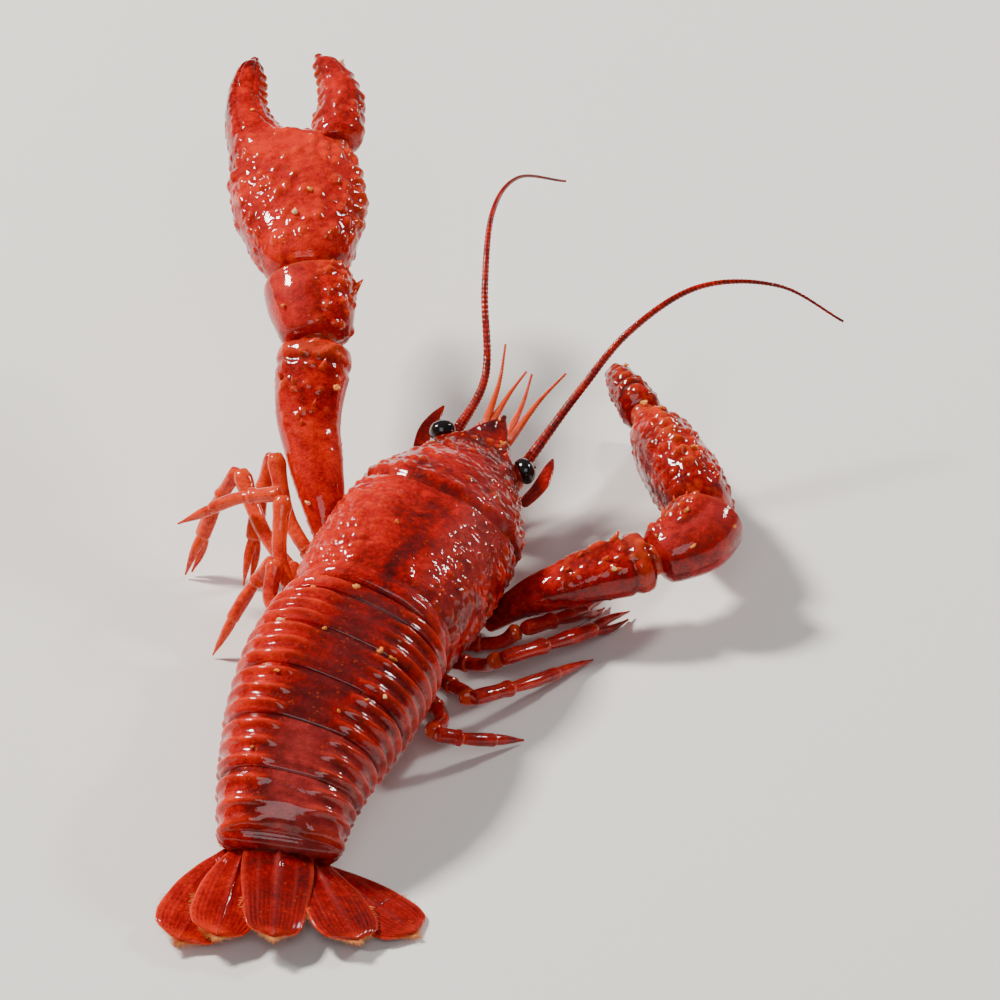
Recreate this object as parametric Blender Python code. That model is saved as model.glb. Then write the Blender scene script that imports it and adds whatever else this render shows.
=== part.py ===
"""A cooked crayfish at rest on a table, leaning a little onto its right side, with its left claw raised.

Metres, +Z up, head towards +Y. The origin is under the middle of the object, on the table.
Each hard plate of the shell and each limb segment is its own solid, as they are in the animal.
"""

import math

import bmesh
import bpy
from mathutils import Matrix, Vector

MM = 0.001

# Driving dimensions
CARAPACE_LENGTH = 43.5 * MM  # from the hind margin to the tip of the rostrum
CLAW_LENGTHS = {"L": 37.2 * MM, "R": 33.0 * MM}
JOINT_GAP = 0.35 * MM
T = CARAPACE_LENGTH / 52  # the trunk's tables are in 52nds of the carapace
SPINE_HEIGHT = 12 * T  # the trunk's own axis above its underside

# How the animal lies
BODY_LEAN = math.radians(18)  # the back leans towards +X
BODY_PITCH = math.radians(3)  # the head is a little lower than the hind margin of the carapace
BODY_YAW = math.radians(6)  # the head is turned towards +X
LEAN_PIVOT = Vector((8.5 * MM, 0, 0))
PITCH_PIVOT = Vector((0, 30 * MM, 0))
TRUNK_PLACE = Vector((-5.6 * MM, 0, -2.2 * MM))  # low enough that the table flattens the underside

SIDES = {"R": 1, "L": -1}

# Corners of a cross-section
CARAPACE_CORNERS = 28
UNDERSIDE_CORNERS = 14
SOMITE_CORNERS = 22
BLADE_CORNERS = 12
PALM_CORNERS = 16
WRIST_CORNERS = 14
ARM_CORNERS = 12  # of the moving finger and the eye too
LEG_CORNERS = 8  # of the thick feelers and the mouth limb too
FEELER_CORNERS = 6


def about(pivot, turn):
    return Matrix.Translation(pivot) @ turn @ Matrix.Translation(-pivot)


def body_matrix():
    """Carries the trunk's own upright frame to the way it lies."""
    lean = about(LEAN_PIVOT, Matrix.Rotation(BODY_LEAN, 4, "Y"))
    pitch = about(PITCH_PIVOT, Matrix.Rotation(-BODY_PITCH, 4, "X"))
    return Matrix.Translation(TRUNK_PLACE) @ Matrix.Rotation(-BODY_YAW, 4, "Z") @ pitch @ lean


BODY = body_matrix()


# ---------------------------------------------------------------- curves

def smooth_step(x, low, high):
    t = min(1.0, max(0.0, (x - low) / (high - low)))
    return t * t * (3 - 2 * t)


def profile(table, at):
    """The value at a station, on a smooth curve through (station, value) pairs."""
    if at <= table[0][0]:
        return table[0][1]
    if at >= table[-1][0]:
        return table[-1][1]
    k = max(i for i in range(len(table) - 1) if table[i][0] <= at)
    (x0, y0), (x1, y1) = table[k], table[k + 1]

    def slope(i):
        if i in (0, len(table) - 1):
            return 0.0 if i else (table[1][1] - table[0][1]) / (table[1][0] - table[0][0])
        before = (table[i][1] - table[i - 1][1]) / (table[i][0] - table[i - 1][0])
        after = (table[i + 1][1] - table[i][1]) / (table[i + 1][0] - table[i][0])
        return 0.0 if before * after <= 0 else 2 * before * after / (before + after)

    step = x1 - x0
    t = (at - x0) / step
    m0, m1 = slope(k) * step, slope(k + 1) * step
    return ((2 * t**3 - 3 * t**2 + 1) * y0 + (t**3 - 2 * t**2 + t) * m0
            + (3 * t**2 - 2 * t**3) * y1 + (t**3 - t**2) * m1)


def along_path(points, t):
    """A point on the smooth curve through points, with t from 0 to 1."""
    spans = len(points) - 1
    k = min(int(t * spans), spans - 1)
    u = t * spans - k
    p1, p2 = points[k], points[k + 1]
    p0 = points[k - 1] if k else 2 * p1 - p2
    p3 = points[k + 2] if k + 2 < len(points) else 2 * p2 - p1
    return 0.5 * (2 * p1 + (p2 - p0) * u + (2 * p0 - 5 * p1 + 4 * p2 - p3) * u**2
                  + (3 * p1 - p0 - 3 * p2 + p3) * u**3)


# ---------------------------------------------------------------- solids

def section_point(angle, half_width, above, below, power):
    """A point of a rounded cross-section, as (sideways, upwards)."""
    c, s = math.cos(angle), math.sin(angle)
    height = above if s > 0 else below
    return (half_width * math.copysign(abs(c) ** (2 / power), c),
            height * math.copysign(abs(s) ** (2 / power), s))


def station(centre, side, up, half_width, above, below=None, power=2.2, bend=None):
    """One cross-section of a loft. bend moves a finished point, given the point and its angle."""
    return {"centre": centre, "side": side, "up": up, "half_width": half_width, "above": above,
            "below": above if below is None else below, "power": power, "bend": bend}


def add_ring(mesh, place, segments):
    """Adds a cross-section to the mesh and returns its edges."""
    verts = bmesh.ops.create_circle(mesh, segments=segments, radius=1)["verts"]
    for vert in verts:
        angle = math.atan2(vert.co.y, vert.co.x)
        across, height = section_point(angle, place["half_width"], place["above"], place["below"],
                                       place["power"])
        point = place["centre"] + place["side"] * across + place["up"] * height
        vert.co = place["bend"](point, angle) if place["bend"] else point
    return list({edge for vert in verts for edge in vert.link_edges})


def loft(name, stations, segments, material):
    """A closed solid through the stations, flattened where it meets the table."""
    mesh = bmesh.new()
    rings = [add_ring(mesh, place, segments) for place in stations]
    for ring, following in zip(rings, rings[1:]):
        bmesh.ops.bridge_loops(mesh, edges=ring + following)
    bmesh.ops.holes_fill(mesh, edges=rings[0] + rings[-1], sides=0)
    for vert in mesh.verts:
        vert.co.z = max(vert.co.z, 0.0)
    bmesh.ops.recalc_face_normals(mesh, faces=mesh.faces)
    return finished(name, mesh, material)


def finished(name, mesh, material):
    data = bpy.data.meshes.new(name)
    mesh.to_mesh(data)
    mesh.free()
    data.shade_smooth()
    data.materials.append(material)
    solid = bpy.data.objects.new(name, data)
    bpy.context.scene.collection.objects.link(solid)
    return solid


def tube(name, points, radii, segments, material, rings, flatten=1.0):
    """A tapering limb along a smooth path. radii are (share of the path, radius) pairs."""
    stations = []
    for i in range(rings):
        t = i / (rings - 1)
        here = along_path(points, t)
        ahead, behind = along_path(points, min(1, t + 0.02)), along_path(points, max(0, t - 0.02))
        heading = (ahead - behind).normalized()
        side = heading.cross(Vector((0, 0, 1))).normalized()
        up = side.cross(heading)
        radius = profile(radii, t)
        stations.append(station(here, side, up, radius, radius * flatten))
    return loft(name, stations, segments, material)


def plain_material(name, colour, roughness):
    made = bpy.data.materials.new(name)
    made.use_nodes = True
    shader = made.node_tree.nodes["Principled BSDF"]
    shader.inputs["Base Color"].default_value = (*colour, 1)
    shader.inputs["Roughness"].default_value = roughness
    return made


# ---------------------------------------------------------------- carapace

CARAPACE_TOP = [(0, 19.6), (6, 21.4), (14, 22.3), (24, 21.9), (31, 21.0), (38, 19.2), (43, 17.7),
                (47, 17.0), (52, 16.9)]
CARAPACE_WIDTH = [(0, 0.83), (4, 0.93), (10, 0.99), (16, 1.0), (22, 0.97), (28, 0.89), (34, 0.76),
                  (39, 0.60), (42, 0.47), (43.6, 0.35), (46, 0.27), (49, 0.15), (51, 0.07), (52, 0.03)]
CARAPACE_BOTTOM = [(0, 7.0), (4, 4.5), (30, 4.5), (36, 6.4), (40, 9.2), (42, 12.0), (43.6, 14.6),
                   (48, 15.6), (52, 16.4)]
CARAPACE_STATIONS = [0, 1.5, 4, 7, 10, 13, 16, 19, 21.5, 22.8, 23.6, 24.4, 26, 28.5, 31, 33.5, 36, 38.5,
                     40.5, 42, 43.6, 45.5, 47.5, 49.5, 51, 52]
GROOVE_AT = 23.6  # station of the groove across the back
GROOVE_DEPTH = 0.6 * T
CARAPACE_HALF_WIDTH = 12.6 * T
WIDEST_AT = 0.42  # the widest level, as a share of the height


def sweep_forward(y, angle):
    """How far a cross-section runs forward on the flanks, so that the groove curves down to the jaws."""
    reach = 5 * math.sin(math.pi * (y - 8) / 34) ** 2 if 8 < y < 42 else 0
    return reach * (1 - max(0.0, math.sin(angle))) * T


def carapace(material):
    stations = []
    for y in CARAPACE_STATIONS:
        top, bottom = profile(CARAPACE_TOP, y) * T, profile(CARAPACE_BOTTOM, y) * T
        middle = bottom + WIDEST_AT * (top - bottom)
        inset = GROOVE_DEPTH if y == GROOVE_AT else 0.0
        stations.append(station(
            Vector((0, y * T, middle)), Vector((1, 0, 0)), Vector((0, 0, 1)),
            profile(CARAPACE_WIDTH, y) * CARAPACE_HALF_WIDTH - inset,
            top - middle - inset, middle - bottom, 2.3,
            lambda point, angle, y=y: BODY @ (point + Vector((0, sweep_forward(y, angle), 0)))))
    return loft("carapace", stations, CARAPACE_CORNERS, material)


UNDERSIDE_WIDTH = [(1.5, 6.0), (8, 8.8), (24, 8.8), (32, 6.5), (37, 4.2)]
UNDERSIDE_STATIONS = [1.5, 4, 8, 13, 18, 23, 28, 33, 37]


def underside(material):
    """The floor of the thorax that the walking legs grow from."""
    stations = []
    for y in UNDERSIDE_STATIONS:
        rise = 2.2 * smooth_step(y, 28, 37)
        stations.append(station(
            Vector((0, y, 2.0 + rise / 2)) * T, Vector((1, 0, 0)), Vector((0, 0, 1)),
            profile(UNDERSIDE_WIDTH, y) * T, (1.95 - 0.1 * rise) * T, 2.0 * T, 4.0,
            lambda point, angle: BODY @ point))
    return loft("underside", stations, UNDERSIDE_CORNERS, material)


# ---------------------------------------------------------------- abdomen

ABDOMEN_RINGS = [3.6 * T, 7.3 * T, 7.5 * T, 7.4 * T, 7.0 * T, 8.2 * T]  # length of each somite
ABDOMEN_LENGTH = sum(ABDOMEN_RINGS)
# By share of the abdomen, which the centre line runs past
DROOP = [(0, -3), (0.3, 5), (0.6, 15), (0.8, 22), (1.0, 24), (1.4, 18)]  # degrees down
SWING = [(0, -6), (0.4, -6), (0.7, -2), (1.0, 8), (1.4, 13)]  # degrees towards +X
LEAN = [(0, 18), (0.5, 16), (1.0, 11), (1.4, 9)]  # degrees
ABDOMEN_WIDTH = [(0, 11.2), (0.12, 12.0), (0.3, 12.2), (0.5, 11.4), (0.7, 10.0), (0.85, 8.9), (1.0, 8.0)]
ABDOMEN_ABOVE = [(0, 7.0), (0.12, 7.6), (0.4, 7.7), (0.7, 6.9), (0.9, 5.6), (1.0, 4.2)]
ABDOMEN_BELOW = [(0, 5.6), (0.12, 7.0), (0.5, 6.8), (0.75, 5.6), (0.9, 4.1), (1.0, 2.6)]
SPINE_REACH = 1.4  # the centre line runs past the tail fan's root, to this share of the abdomen
SPINE_STEPS = 160


def spine_frames():
    """Points and axes down the abdomen's centre line, from the carapace to past the tail fan's root."""
    here = BODY @ Vector((0, 0, SPINE_HEIGHT))
    step = SPINE_REACH * ABDOMEN_LENGTH / SPINE_STEPS
    frames = []
    for i in range(SPINE_STEPS + 1):
        share = SPINE_REACH * i / SPINE_STEPS
        down, yaw, lean = (math.radians(profile(table, share)) for table in (DROOP, SWING, LEAN))
        heading = Vector((math.sin(yaw) * math.cos(down), -math.cos(yaw) * math.cos(down), -math.sin(down)))
        level = Vector((math.cos(yaw), math.sin(yaw), 0))
        upright = level.cross(-heading)
        frames.append((here.copy(), heading, level * math.cos(lean) - upright * math.sin(lean),
                       upright * math.cos(lean) + level * math.sin(lean)))
        here += heading * step
    return frames


SPINE = spine_frames()


def spine_at(share):
    """(centre, heading, side, up) at a share of the abdomen's length."""
    exact = share / SPINE_REACH * SPINE_STEPS
    k = min(int(exact), SPINE_STEPS - 1)
    (c0, h0, s0, u0), (c1, h1, s1, u1) = SPINE[k], SPINE[k + 1]
    t = exact - k
    return (c0.lerp(c1, t), h0.lerp(h1, t).normalized(),
            s0.lerp(s1, t).normalized(), u0.lerp(u1, t).normalized())


def pleuron(up, depth):
    """Draws the lower corners of a somite down into its side flaps."""
    def bend(point, angle):
        corner = smooth_step(abs(math.cos(angle)), 0.5, 0.9) * smooth_step(-math.sin(angle), 0.05, 0.5)
        return point - up * depth * corner
    return bend


def somite(number, material):
    start = sum(ABDOMEN_RINGS[:number - 1])
    length = ABDOMEN_RINGS[number - 1]
    stations = []
    for t in (0.0, 0.12, 0.4, 0.75, 1.0):
        share = (start + JOINT_GAP + t * (length - JOINT_GAP)) / ABDOMEN_LENGTH
        centre, _, side, up = spine_at(share)
        swell = 0.93 + 0.07 * smooth_step(t, 0, 0.3)
        flap = (1.6 if number > 1 else 0.4) * math.sin(math.pi * (0.1 + 0.85 * t)) * T
        stations.append(station(
            centre, side, up, profile(ABDOMEN_WIDTH, share) * swell * T,
            profile(ABDOMEN_ABOVE, share) * swell * T, profile(ABDOMEN_BELOW, share) * 0.86 * T,
            2.5, pleuron(up, flap)))
    return loft(f"somite_{number}", stations, SOMITE_CORNERS, material)


# ---------------------------------------------------------------- tail fan

BLADE_WIDTH = [(0, 0.42), (0.2, 0.70), (0.5, 0.95), (0.75, 1.0), (0.9, 0.86), (1.0, 0.50)]
TELSON_WIDTH = [(0, 0.96), (0.25, 1.0), (0.6, 0.90), (0.85, 0.80), (0.96, 0.62), (1.0, 0.40)]
BLADE_STATIONS = [0, 0.12, 0.3, 0.5, 0.7, 0.85, 0.95, 1.0]
FAN = [  # name, sideways root, root below the telson's, splay in degrees, length, half width, tip height
    ("telson", 0.0, 0.0, 3, 15.5, 4.8, 3.2),
    ("uropod_inner_R", 4.6, 1.3, 27, 15.5, 4.5, 2.0),
    ("uropod_outer_R", 6.0, 2.8, 52, 16.5, 4.9, 0.6),
    ("uropod_inner_L", -4.6, 1.3, -7, 15.0, 4.3, 2.7),
    ("uropod_outer_L", -6.0, 2.8, -19, 15.5, 4.9, 1.4),
]


def fan_blade(name, sideways, below, splay, length, half_width, tip_height, material):
    """A flat plate of the tail fan, thickest along its middle rib."""
    centre, heading, side, up = spine_at(1.0)
    clear = 0.6 * MM + abs(sideways) * 0.08 * MM
    root = centre + heading * clear + side * sideways * T - up * (below - 0.6) * T
    level = Vector((heading.x, heading.y, 0)).normalized()
    out = Matrix.Rotation(math.radians(splay), 3, "Z") @ level
    fall = (root.z - tip_height * MM) / (length * T)
    direction = (out - Vector((0, 0, fall))).normalized()
    across = side
    if name.startswith("uropod_outer"):
        level_side = Vector((0, 0, 1)).cross(direction).normalized() * math.copysign(1, side.x)
        across = side + level_side * (1 if splay > 0 else 0.3)
    across = (across - direction * across.dot(direction)).normalized()
    normal = direction.cross(across)
    widths = TELSON_WIDTH if name == "telson" else BLADE_WIDTH
    stations = []
    for t in BLADE_STATIONS:
        thick = (0.62 - 0.30 * t) * MM
        stations.append(station(root + direction * t * length * T, across, normal,
                                profile(widths, t) * half_width * T, thick, thick * 0.7, 2.0))
    return loft(name, stations, BLADE_CORNERS, material)


# ---------------------------------------------------------------- claws and their arms

# (along, outwards, half width, half thickness) of the palm with its fixed finger, then of the moving finger
PALM = [(0, 0, 1.8, 1.7), (1.2, 0, 3.6, 3.1), (3.2, 0, 5.5, 4.2), (7.5, 0.1, 7.6, 5.2), (13, 0.3, 8.6, 5.5),
        (18, 0.7, 8.6, 5.2), (21.4, 2.0, 7.3, 4.8), (23.2, 3.9, 5.3, 4.2), (25.6, 5.1, 3.9, 3.5),
        (29, 6.0, 3.1, 2.9), (33, 6.3, 2.6, 2.4), (37, 5.9, 2.1, 1.9), (40.5, 5.1, 1.4, 1.4),
        (42, 4.6, 0.6, 0.6)]
MOVING_FINGER = [(0, 0, 2.0, 2.0), (1.3, -0.6, 3.1, 3.0), (4.6, -1.6, 3.1, 2.9), (8.6, -2.4, 2.7, 2.5),
                 (12.6, -2.3, 2.2, 2.0), (16.0, -1.4, 1.5, 1.4), (17.6, -0.8, 0.6, 0.6)]
HINGE = Vector((-5.0, 24.4, 0))  # of the moving finger in the claw's frame, whose rows are from there
CLAW_TABLE_LENGTH = 42
SECTION_TURN = 0.55  # how far a cross-section turns with the finger's curve

# The arm's root is in the trunk's upright frame. The rest is in the lying frame, all in millimetres.
ARM_ROOT = (9.9, 20.0, 4.1)
ARMS = {
    "L": {"arm": [(-13.2, 25.0, 12.0), (-16.6, 33.0, 16.6), (-17.6, 40.4, 21.4)], "girth": 1.0,
          "wrist": (-21.0, 49.6, 25.2), "aim": (-9.5, 31.0, 6.2), "facing": (0.05, -0.25, 1), "shut": 6},
    "R": {"arm": [(12.0, 19.6, 5.2), (18.0, 21.8, 7.4), (24.8, 25.4, 8.6)], "girth": 0.88,
          "wrist": (29.6, 33.8, 10.0), "aim": (-15.2, 27.0, -3.5), "facing": (0.83, 0.5, 0.4), "shut": 12},
}
ARM_RADII = [(0, 1.7), (0.15, 2.0), (0.5, 3.0), (0.8, 3.9), (0.9, 3.8), (0.96, 2.8), (1.0, 1.5)]
WRIST_RADII = [(0, 1.5), (0.07, 2.9), (0.25, 4.6), (0.55, 5.2), (0.8, 4.6), (0.93, 2.9), (1.0, 1.5)]
ELBOW_GAP = 0.9 * MM
WRIST_GAP = 1.3 * MM
WRIST_BEND = 0.9 * MM


def millimetres(points):
    return [Vector(p) * MM for p in points]


def mirrored(points, side_name):
    """Points of the upright trunk, in millimetres for the right side, carried to a side as it lies."""
    return [BODY @ (Vector((x * SIDES[side_name], y, z)) * MM) for x, y, z in points]


def scaled(radii, girth=1.0):
    return [(t, r * girth * MM) for t, r in radii]


def claw_matrix(side_name):
    """The claw's own frame: +Y along it, +X outwards from the body's middle, +Z its upper face."""
    pose = ARMS[side_name]
    along = Vector(pose["aim"]).normalized()
    out = along.cross(Vector(pose["facing"])).normalized()
    upper = out.cross(along)
    turned = Matrix((out * SIDES[side_name], along, upper)).transposed().to_4x4()
    size = Matrix.Scale(CLAW_LENGTHS[side_name] / (CLAW_TABLE_LENGTH * MM), 4)
    return Matrix.Translation(Vector(pose["wrist"]) * MM) @ turned @ size


def finger_frame(side_name):
    """The moving finger's own frame, which has its hinge at the origin and is turned shut in degrees."""
    shut = Matrix.Rotation(-math.radians(ARMS[side_name]["shut"]), 4, "Z")
    return claw_matrix(side_name) @ Matrix.Translation(HINGE * MM) @ shut


def claw_part(name, rows, frame, segments, material):
    stations = []
    for i, (along, outwards, half_width, half_thick) in enumerate(rows):
        before, after = rows[max(0, i - 1)], rows[min(len(rows) - 1, i + 1)]
        heading = Vector((after[1] - before[1], after[0] - before[0], 0))
        turn = SECTION_TURN * math.atan2(heading.x, heading.y)
        stations.append(station(
            Vector((outwards, along, 0)) * MM, Vector((math.cos(turn), -math.sin(turn), 0)),
            Vector((0, 0, 1)), half_width * MM, half_thick * MM, half_thick * 0.9 * MM, 2.25,
            lambda point, angle: frame @ point))
    return loft(name, stations, segments, material)


def cheliped(side_name, material):
    """One claw-bearing limb: arm, wrist, palm with its fixed finger, and moving finger."""
    pose = ARMS[side_name]
    arm = mirrored([ARM_ROOT], side_name) + millimetres(pose["arm"])
    tube(f"claw_arm_{side_name}", arm, scaled(ARM_RADII, pose["girth"]), ARM_CORNERS, material,
         rings=12, flatten=0.82)
    frame = claw_matrix(side_name)
    along = (frame.to_3x3() @ Vector((0, 1, 0))).normalized()
    run = (arm[-1] - arm[-2]).normalized()
    elbow = arm[-1] + run * ELBOW_GAP
    wrist_end = frame.translation - along * WRIST_GAP
    middle = (elbow + wrist_end) / 2 + (run - along) * WRIST_BEND
    tube(f"claw_wrist_{side_name}", [elbow, middle, wrist_end], scaled(WRIST_RADII, pose["girth"]),
         WRIST_CORNERS, material, rings=12, flatten=0.86)
    claw_part(f"claw_palm_{side_name}", PALM, frame, PALM_CORNERS, material)
    claw_part(f"claw_finger_{side_name}", MOVING_FINGER, finger_frame(side_name), ARM_CORNERS, material)


# ---------------------------------------------------------------- walking legs

# Each root's own station along the trunk, then the leg's knee and tip in the lying frame, in millimetres,
# from the front pair to the hind pair
LEG_ROOT = (8.9, 3.1)  # sideways and up in the trunk's upright frame
LEGS = {
    "R": [(15.5, (12.6, 14.6, 4.4), (19.4, 27.2, 0.5)),
          (11.5, (11.8, 7.2, 5.2), (22.6, 25.6, 0.5)),
          (7.5, (10.2, -0.8, 5.0), (20.4, 16.0, 0.5)),
          (3.5, (7.6, -8.0, 4.8), (16.2, -1.0, 0.5))],
    "L": [(15.5, (-19.6, 28.0, 15.0), (-21.4, 21.8, 0.5)),
          (11.5, (-23.0, 25.2, 14.0), (-28.4, 22.4, 0.5)),
          (7.5, (-16.2, 18.6, 16.0), (-28.6, 19.4, 9.4)),
          (3.5, (-15.2, 11.2, 12.2), (-21.6, 7.4, 0.5))],
}
UPPER_LEG_RADII = [(0, 0.6), (0.12, 0.95), (0.4, 1.05), (0.82, 1.2), (1.0, 0.45)]
LOWER_LEG_RADII = [(0, 0.45), (0.12, 1.0), (0.32, 0.8), (0.48, 1.0), (0.6, 0.95), (0.85, 0.6), (1.0, 0.3)]
KNEE_GAP = 1.15 * MM


def walking_leg(side_name, number, material):
    along, *ends = LEGS[side_name][number - 2]
    knee, tip = millimetres(ends)
    root = mirrored([(LEG_ROOT[0], along, LEG_ROOT[1])], side_name)[0]
    upper_run, lower_run = (knee - root).normalized(), (tip - knee).normalized()
    crook = (upper_run - lower_run).normalized()
    top = knee - upper_run * KNEE_GAP
    middle = (root + top) / 2 + Vector((SIDES[side_name] * 1.3 * MM, 0, -0.4 * MM))
    tube(f"leg_{side_name}{number}_upper", [root, middle, top], scaled(UPPER_LEG_RADII),
         LEG_CORNERS, material, rings=7)
    start = knee + lower_run * KNEE_GAP
    middle = (start + tip) / 2 + crook * 1.2 * MM
    tube(f"leg_{side_name}{number}_lower", [start, middle, tip], scaled(LOWER_LEG_RADII),
         LEG_CORNERS, material, rings=9)


# ---------------------------------------------------------------- head

# In the trunk's upright frame, for the right side, in the trunk's own units
EYE_STALK = [(5.0, 43.5, 14.4), (5.8, 44.3, 15.0), (7.2, 45.7, 15.9)]
EYE_RADII = [(0, 0.7), (0.3, 0.95), (0.5, 1.7), (0.75, 1.85), (0.93, 1.2), (1.0, 0.5)]
FEELER_ROOT = [(4.4, 43.8, 10.4), (4.8, 46.8, 10.8), (5.2, 50.0, 11.6)]
FEELER_SCALE = [(8.0, 43.2, 11.2), (8.8, 47.6, 12.4), (8.4, 52.5, 13.8)]
SMALL_FEELER = [(1.7, 44.8, 11.8), (1.7, 50.0, 13.2), (2.0, 56.0, 17.0), (2.6, 60.5, 21.5)]
MOUTH_LIMB = [(2.9, 38.5, 3.9), (2.9, 43.0, 5.2), (2.5, 47.2, 8.0)]
# In the lying frame, in millimetres
FEELER_WHIPS = {
    "L": [(0.4, 48.6, 15.0), (-1.6, 57.0, 21.5), (-3.0, 67.0, 25.5), (-2.0, 76.0, 25.0), (2.0, 83.5, 20.5)],
    "R": [(11.4, 48.6, 14.4), (16.0, 56.0, 19.0), (22.6, 63.0, 21.5), (31.0, 67.5, 20.0),
          (38.5, 68.6, 15.5)],
}


FEELER_ROOT_RADII = [(0, 1.5), (0.5, 1.4), (1, 1.0)]
WHIP_RADII = [(0, 0.75), (0.15, 0.55), (1, 0.28)]
SCALE_RADII = [(0, 1.1), (0.4, 1.5), (0.8, 1.1), (1, 0.35)]
SMALL_FEELER_RADII = [(0, 0.9), (0.3, 0.8), (0.45, 0.5), (1, 0.28)]
MOUTH_LIMB_RADII = [(0, 1.2), (0.5, 1.25), (1, 0.6)]
FEELER_GAP = 0.5 * MM


def on_head(points, side_name):
    return mirrored([Vector(p) * T / MM for p in points], side_name)


def head_limbs(side_name, material):
    """The feelers with their scale and the outer mouth limb of one side."""
    root = on_head(FEELER_ROOT, side_name)
    start = root[-1] + (root[-1] - root[-2]).normalized() * FEELER_GAP
    whip = [start] + millimetres(FEELER_WHIPS[side_name])
    limbs = [  # name, path, radii, corners, rings, flatness
        ("feeler_root", root, FEELER_ROOT_RADII, LEG_CORNERS, 4, 1.0),
        ("feeler_whip", whip, WHIP_RADII, FEELER_CORNERS, 16, 1.0),
        ("feeler_scale", on_head(FEELER_SCALE, side_name), SCALE_RADII, LEG_CORNERS, 5, 0.3),
        ("small_feeler", on_head(SMALL_FEELER, side_name), SMALL_FEELER_RADII, FEELER_CORNERS, 8, 1.0),
        ("mouth_limb", on_head(MOUTH_LIMB, side_name), MOUTH_LIMB_RADII, LEG_CORNERS, 5, 1.0),
    ]
    for name, path, radii, corners, rings, flatten in limbs:
        tube(f"{name}_{side_name}", path, scaled(radii), corners, material, rings, flatten)


# ---------------------------------------------------------------- the whole

def centre_on_base(objects):
    """Moves everything so that the origin lies under the middle of the whole."""
    corners = [vert.co for solid in objects for vert in solid.data.vertices]
    middle = [(min(c[k] for c in corners) + max(c[k] for c in corners)) / 2 for k in range(2)]
    floor = min(c.z for c in corners)
    shift = Matrix.Translation(Vector((-middle[0], -middle[1], -floor)))
    for solid in objects:
        solid.data.transform(shift)


def main():
    for old in list(bpy.data.objects):
        bpy.data.objects.remove(old, do_unlink=True)
    shell = plain_material("shell", (0.55, 0.03, 0.015), 0.3)
    tail = plain_material("tail", (0.42, 0.015, 0.02), 0.28)
    limb = plain_material("limb", (0.72, 0.09, 0.02), 0.35)
    eye_black = plain_material("eye_black", (0.01, 0.008, 0.008), 0.12)

    carapace(shell)
    underside(limb)
    for number in range(1, len(ABDOMEN_RINGS) + 1):
        somite(number, tail)
    for blade in FAN:
        fan_blade(*blade, tail)
    for side_name in SIDES:
        cheliped(side_name, shell)
        for number in range(2, 6):
            walking_leg(side_name, number, limb)
        tube(f"eye_{side_name}", on_head(EYE_STALK, side_name), scaled(EYE_RADII, T / MM),
             ARM_CORNERS, eye_black, rings=11)
        head_limbs(side_name, limb)
    centre_on_base(list(bpy.context.scene.objects))


main()
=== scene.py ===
"""A cooked crayfish at rest on a pale table, leaning onto its right side with its left claw raised.

Every plate and limb is a closed skin wrapped round the same sections as its solid. A skin then takes
its relief (grooves, ridges, beads and thorns) and three tints that its finish mixes from: how warm the
red is, which in places also holds painted light and painted shade; how much painted sheen, a pale mauve
standing for reflections of the lights, lies on it; and where the crest of a bead shows, which on the
tail's ridges is a painted highlight.
"""

import logging
import math
import random
from dataclasses import dataclass, field
from enum import Enum
from typing import Callable, Sequence

import bmesh
import bpy
from mathutils import Matrix, Vector, noise


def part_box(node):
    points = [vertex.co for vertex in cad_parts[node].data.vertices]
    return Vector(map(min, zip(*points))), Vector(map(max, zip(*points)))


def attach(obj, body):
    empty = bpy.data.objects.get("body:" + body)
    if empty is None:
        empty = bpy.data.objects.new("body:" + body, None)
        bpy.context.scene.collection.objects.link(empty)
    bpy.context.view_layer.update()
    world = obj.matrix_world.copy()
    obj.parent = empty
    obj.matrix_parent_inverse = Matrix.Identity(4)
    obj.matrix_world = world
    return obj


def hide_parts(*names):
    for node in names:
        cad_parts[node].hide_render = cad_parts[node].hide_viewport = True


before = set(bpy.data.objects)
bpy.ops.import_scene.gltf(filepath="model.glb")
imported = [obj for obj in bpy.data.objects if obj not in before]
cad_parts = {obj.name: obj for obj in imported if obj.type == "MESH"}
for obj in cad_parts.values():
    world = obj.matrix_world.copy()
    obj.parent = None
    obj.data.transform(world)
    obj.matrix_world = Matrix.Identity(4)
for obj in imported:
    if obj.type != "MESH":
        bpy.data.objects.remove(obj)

LOG = logging.getLogger("crayfish")
MM = 0.001

Table = Sequence[tuple[float, float]]
Colour = tuple[float, float, float]
Surface = Callable[[float, float, float], Vector]
Touch = Callable[[float, float, Vector], tuple[float, float, float, float]]

# Driving dimensions
CARAPACE_LENGTH = 43.5 * MM  # from the hind margin to the tip of the rostrum
T = CARAPACE_LENGTH / 52  # the trunk's tables are in 52nds of the carapace
SPINE_HEIGHT = 12 * T
JOINT_GAP = 0.35 * MM
TABLE_TOP = 0.02 * MM  # nothing reaches lower

# How the trunk lies
BODY_LEAN = math.radians(18)
BODY_PITCH = math.radians(3)
BODY_YAW = math.radians(6)
LEAN_PIVOT = Vector((8.5 * MM, 0, 0))
PITCH_PIVOT = Vector((0, 30 * MM, 0))
TRUNK_PLACE = Vector((-5.6 * MM, 0, -2.2 * MM))


class Side(Enum):
    """The animal's two sides, with the sign of their X."""

    RIGHT = ("R", 1)
    LEFT = ("L", -1)

    @property
    def letter(self) -> str:
        """The side's letter in the names of pieces."""
        return self.value[0]

    @property
    def sign(self) -> int:
        """The sign of the side's X."""
        return self.value[1]


class Slot(Enum):
    """The record's finishes that a piece can take."""

    SHELL = "shell"
    TAIL = "tail"
    TAIL_FAN = "tail_fan"
    CLAW = "claw"
    LIMB = "limb"
    EYE = "eye_black"


# ---------------------------------------------------------------- curves

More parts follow.
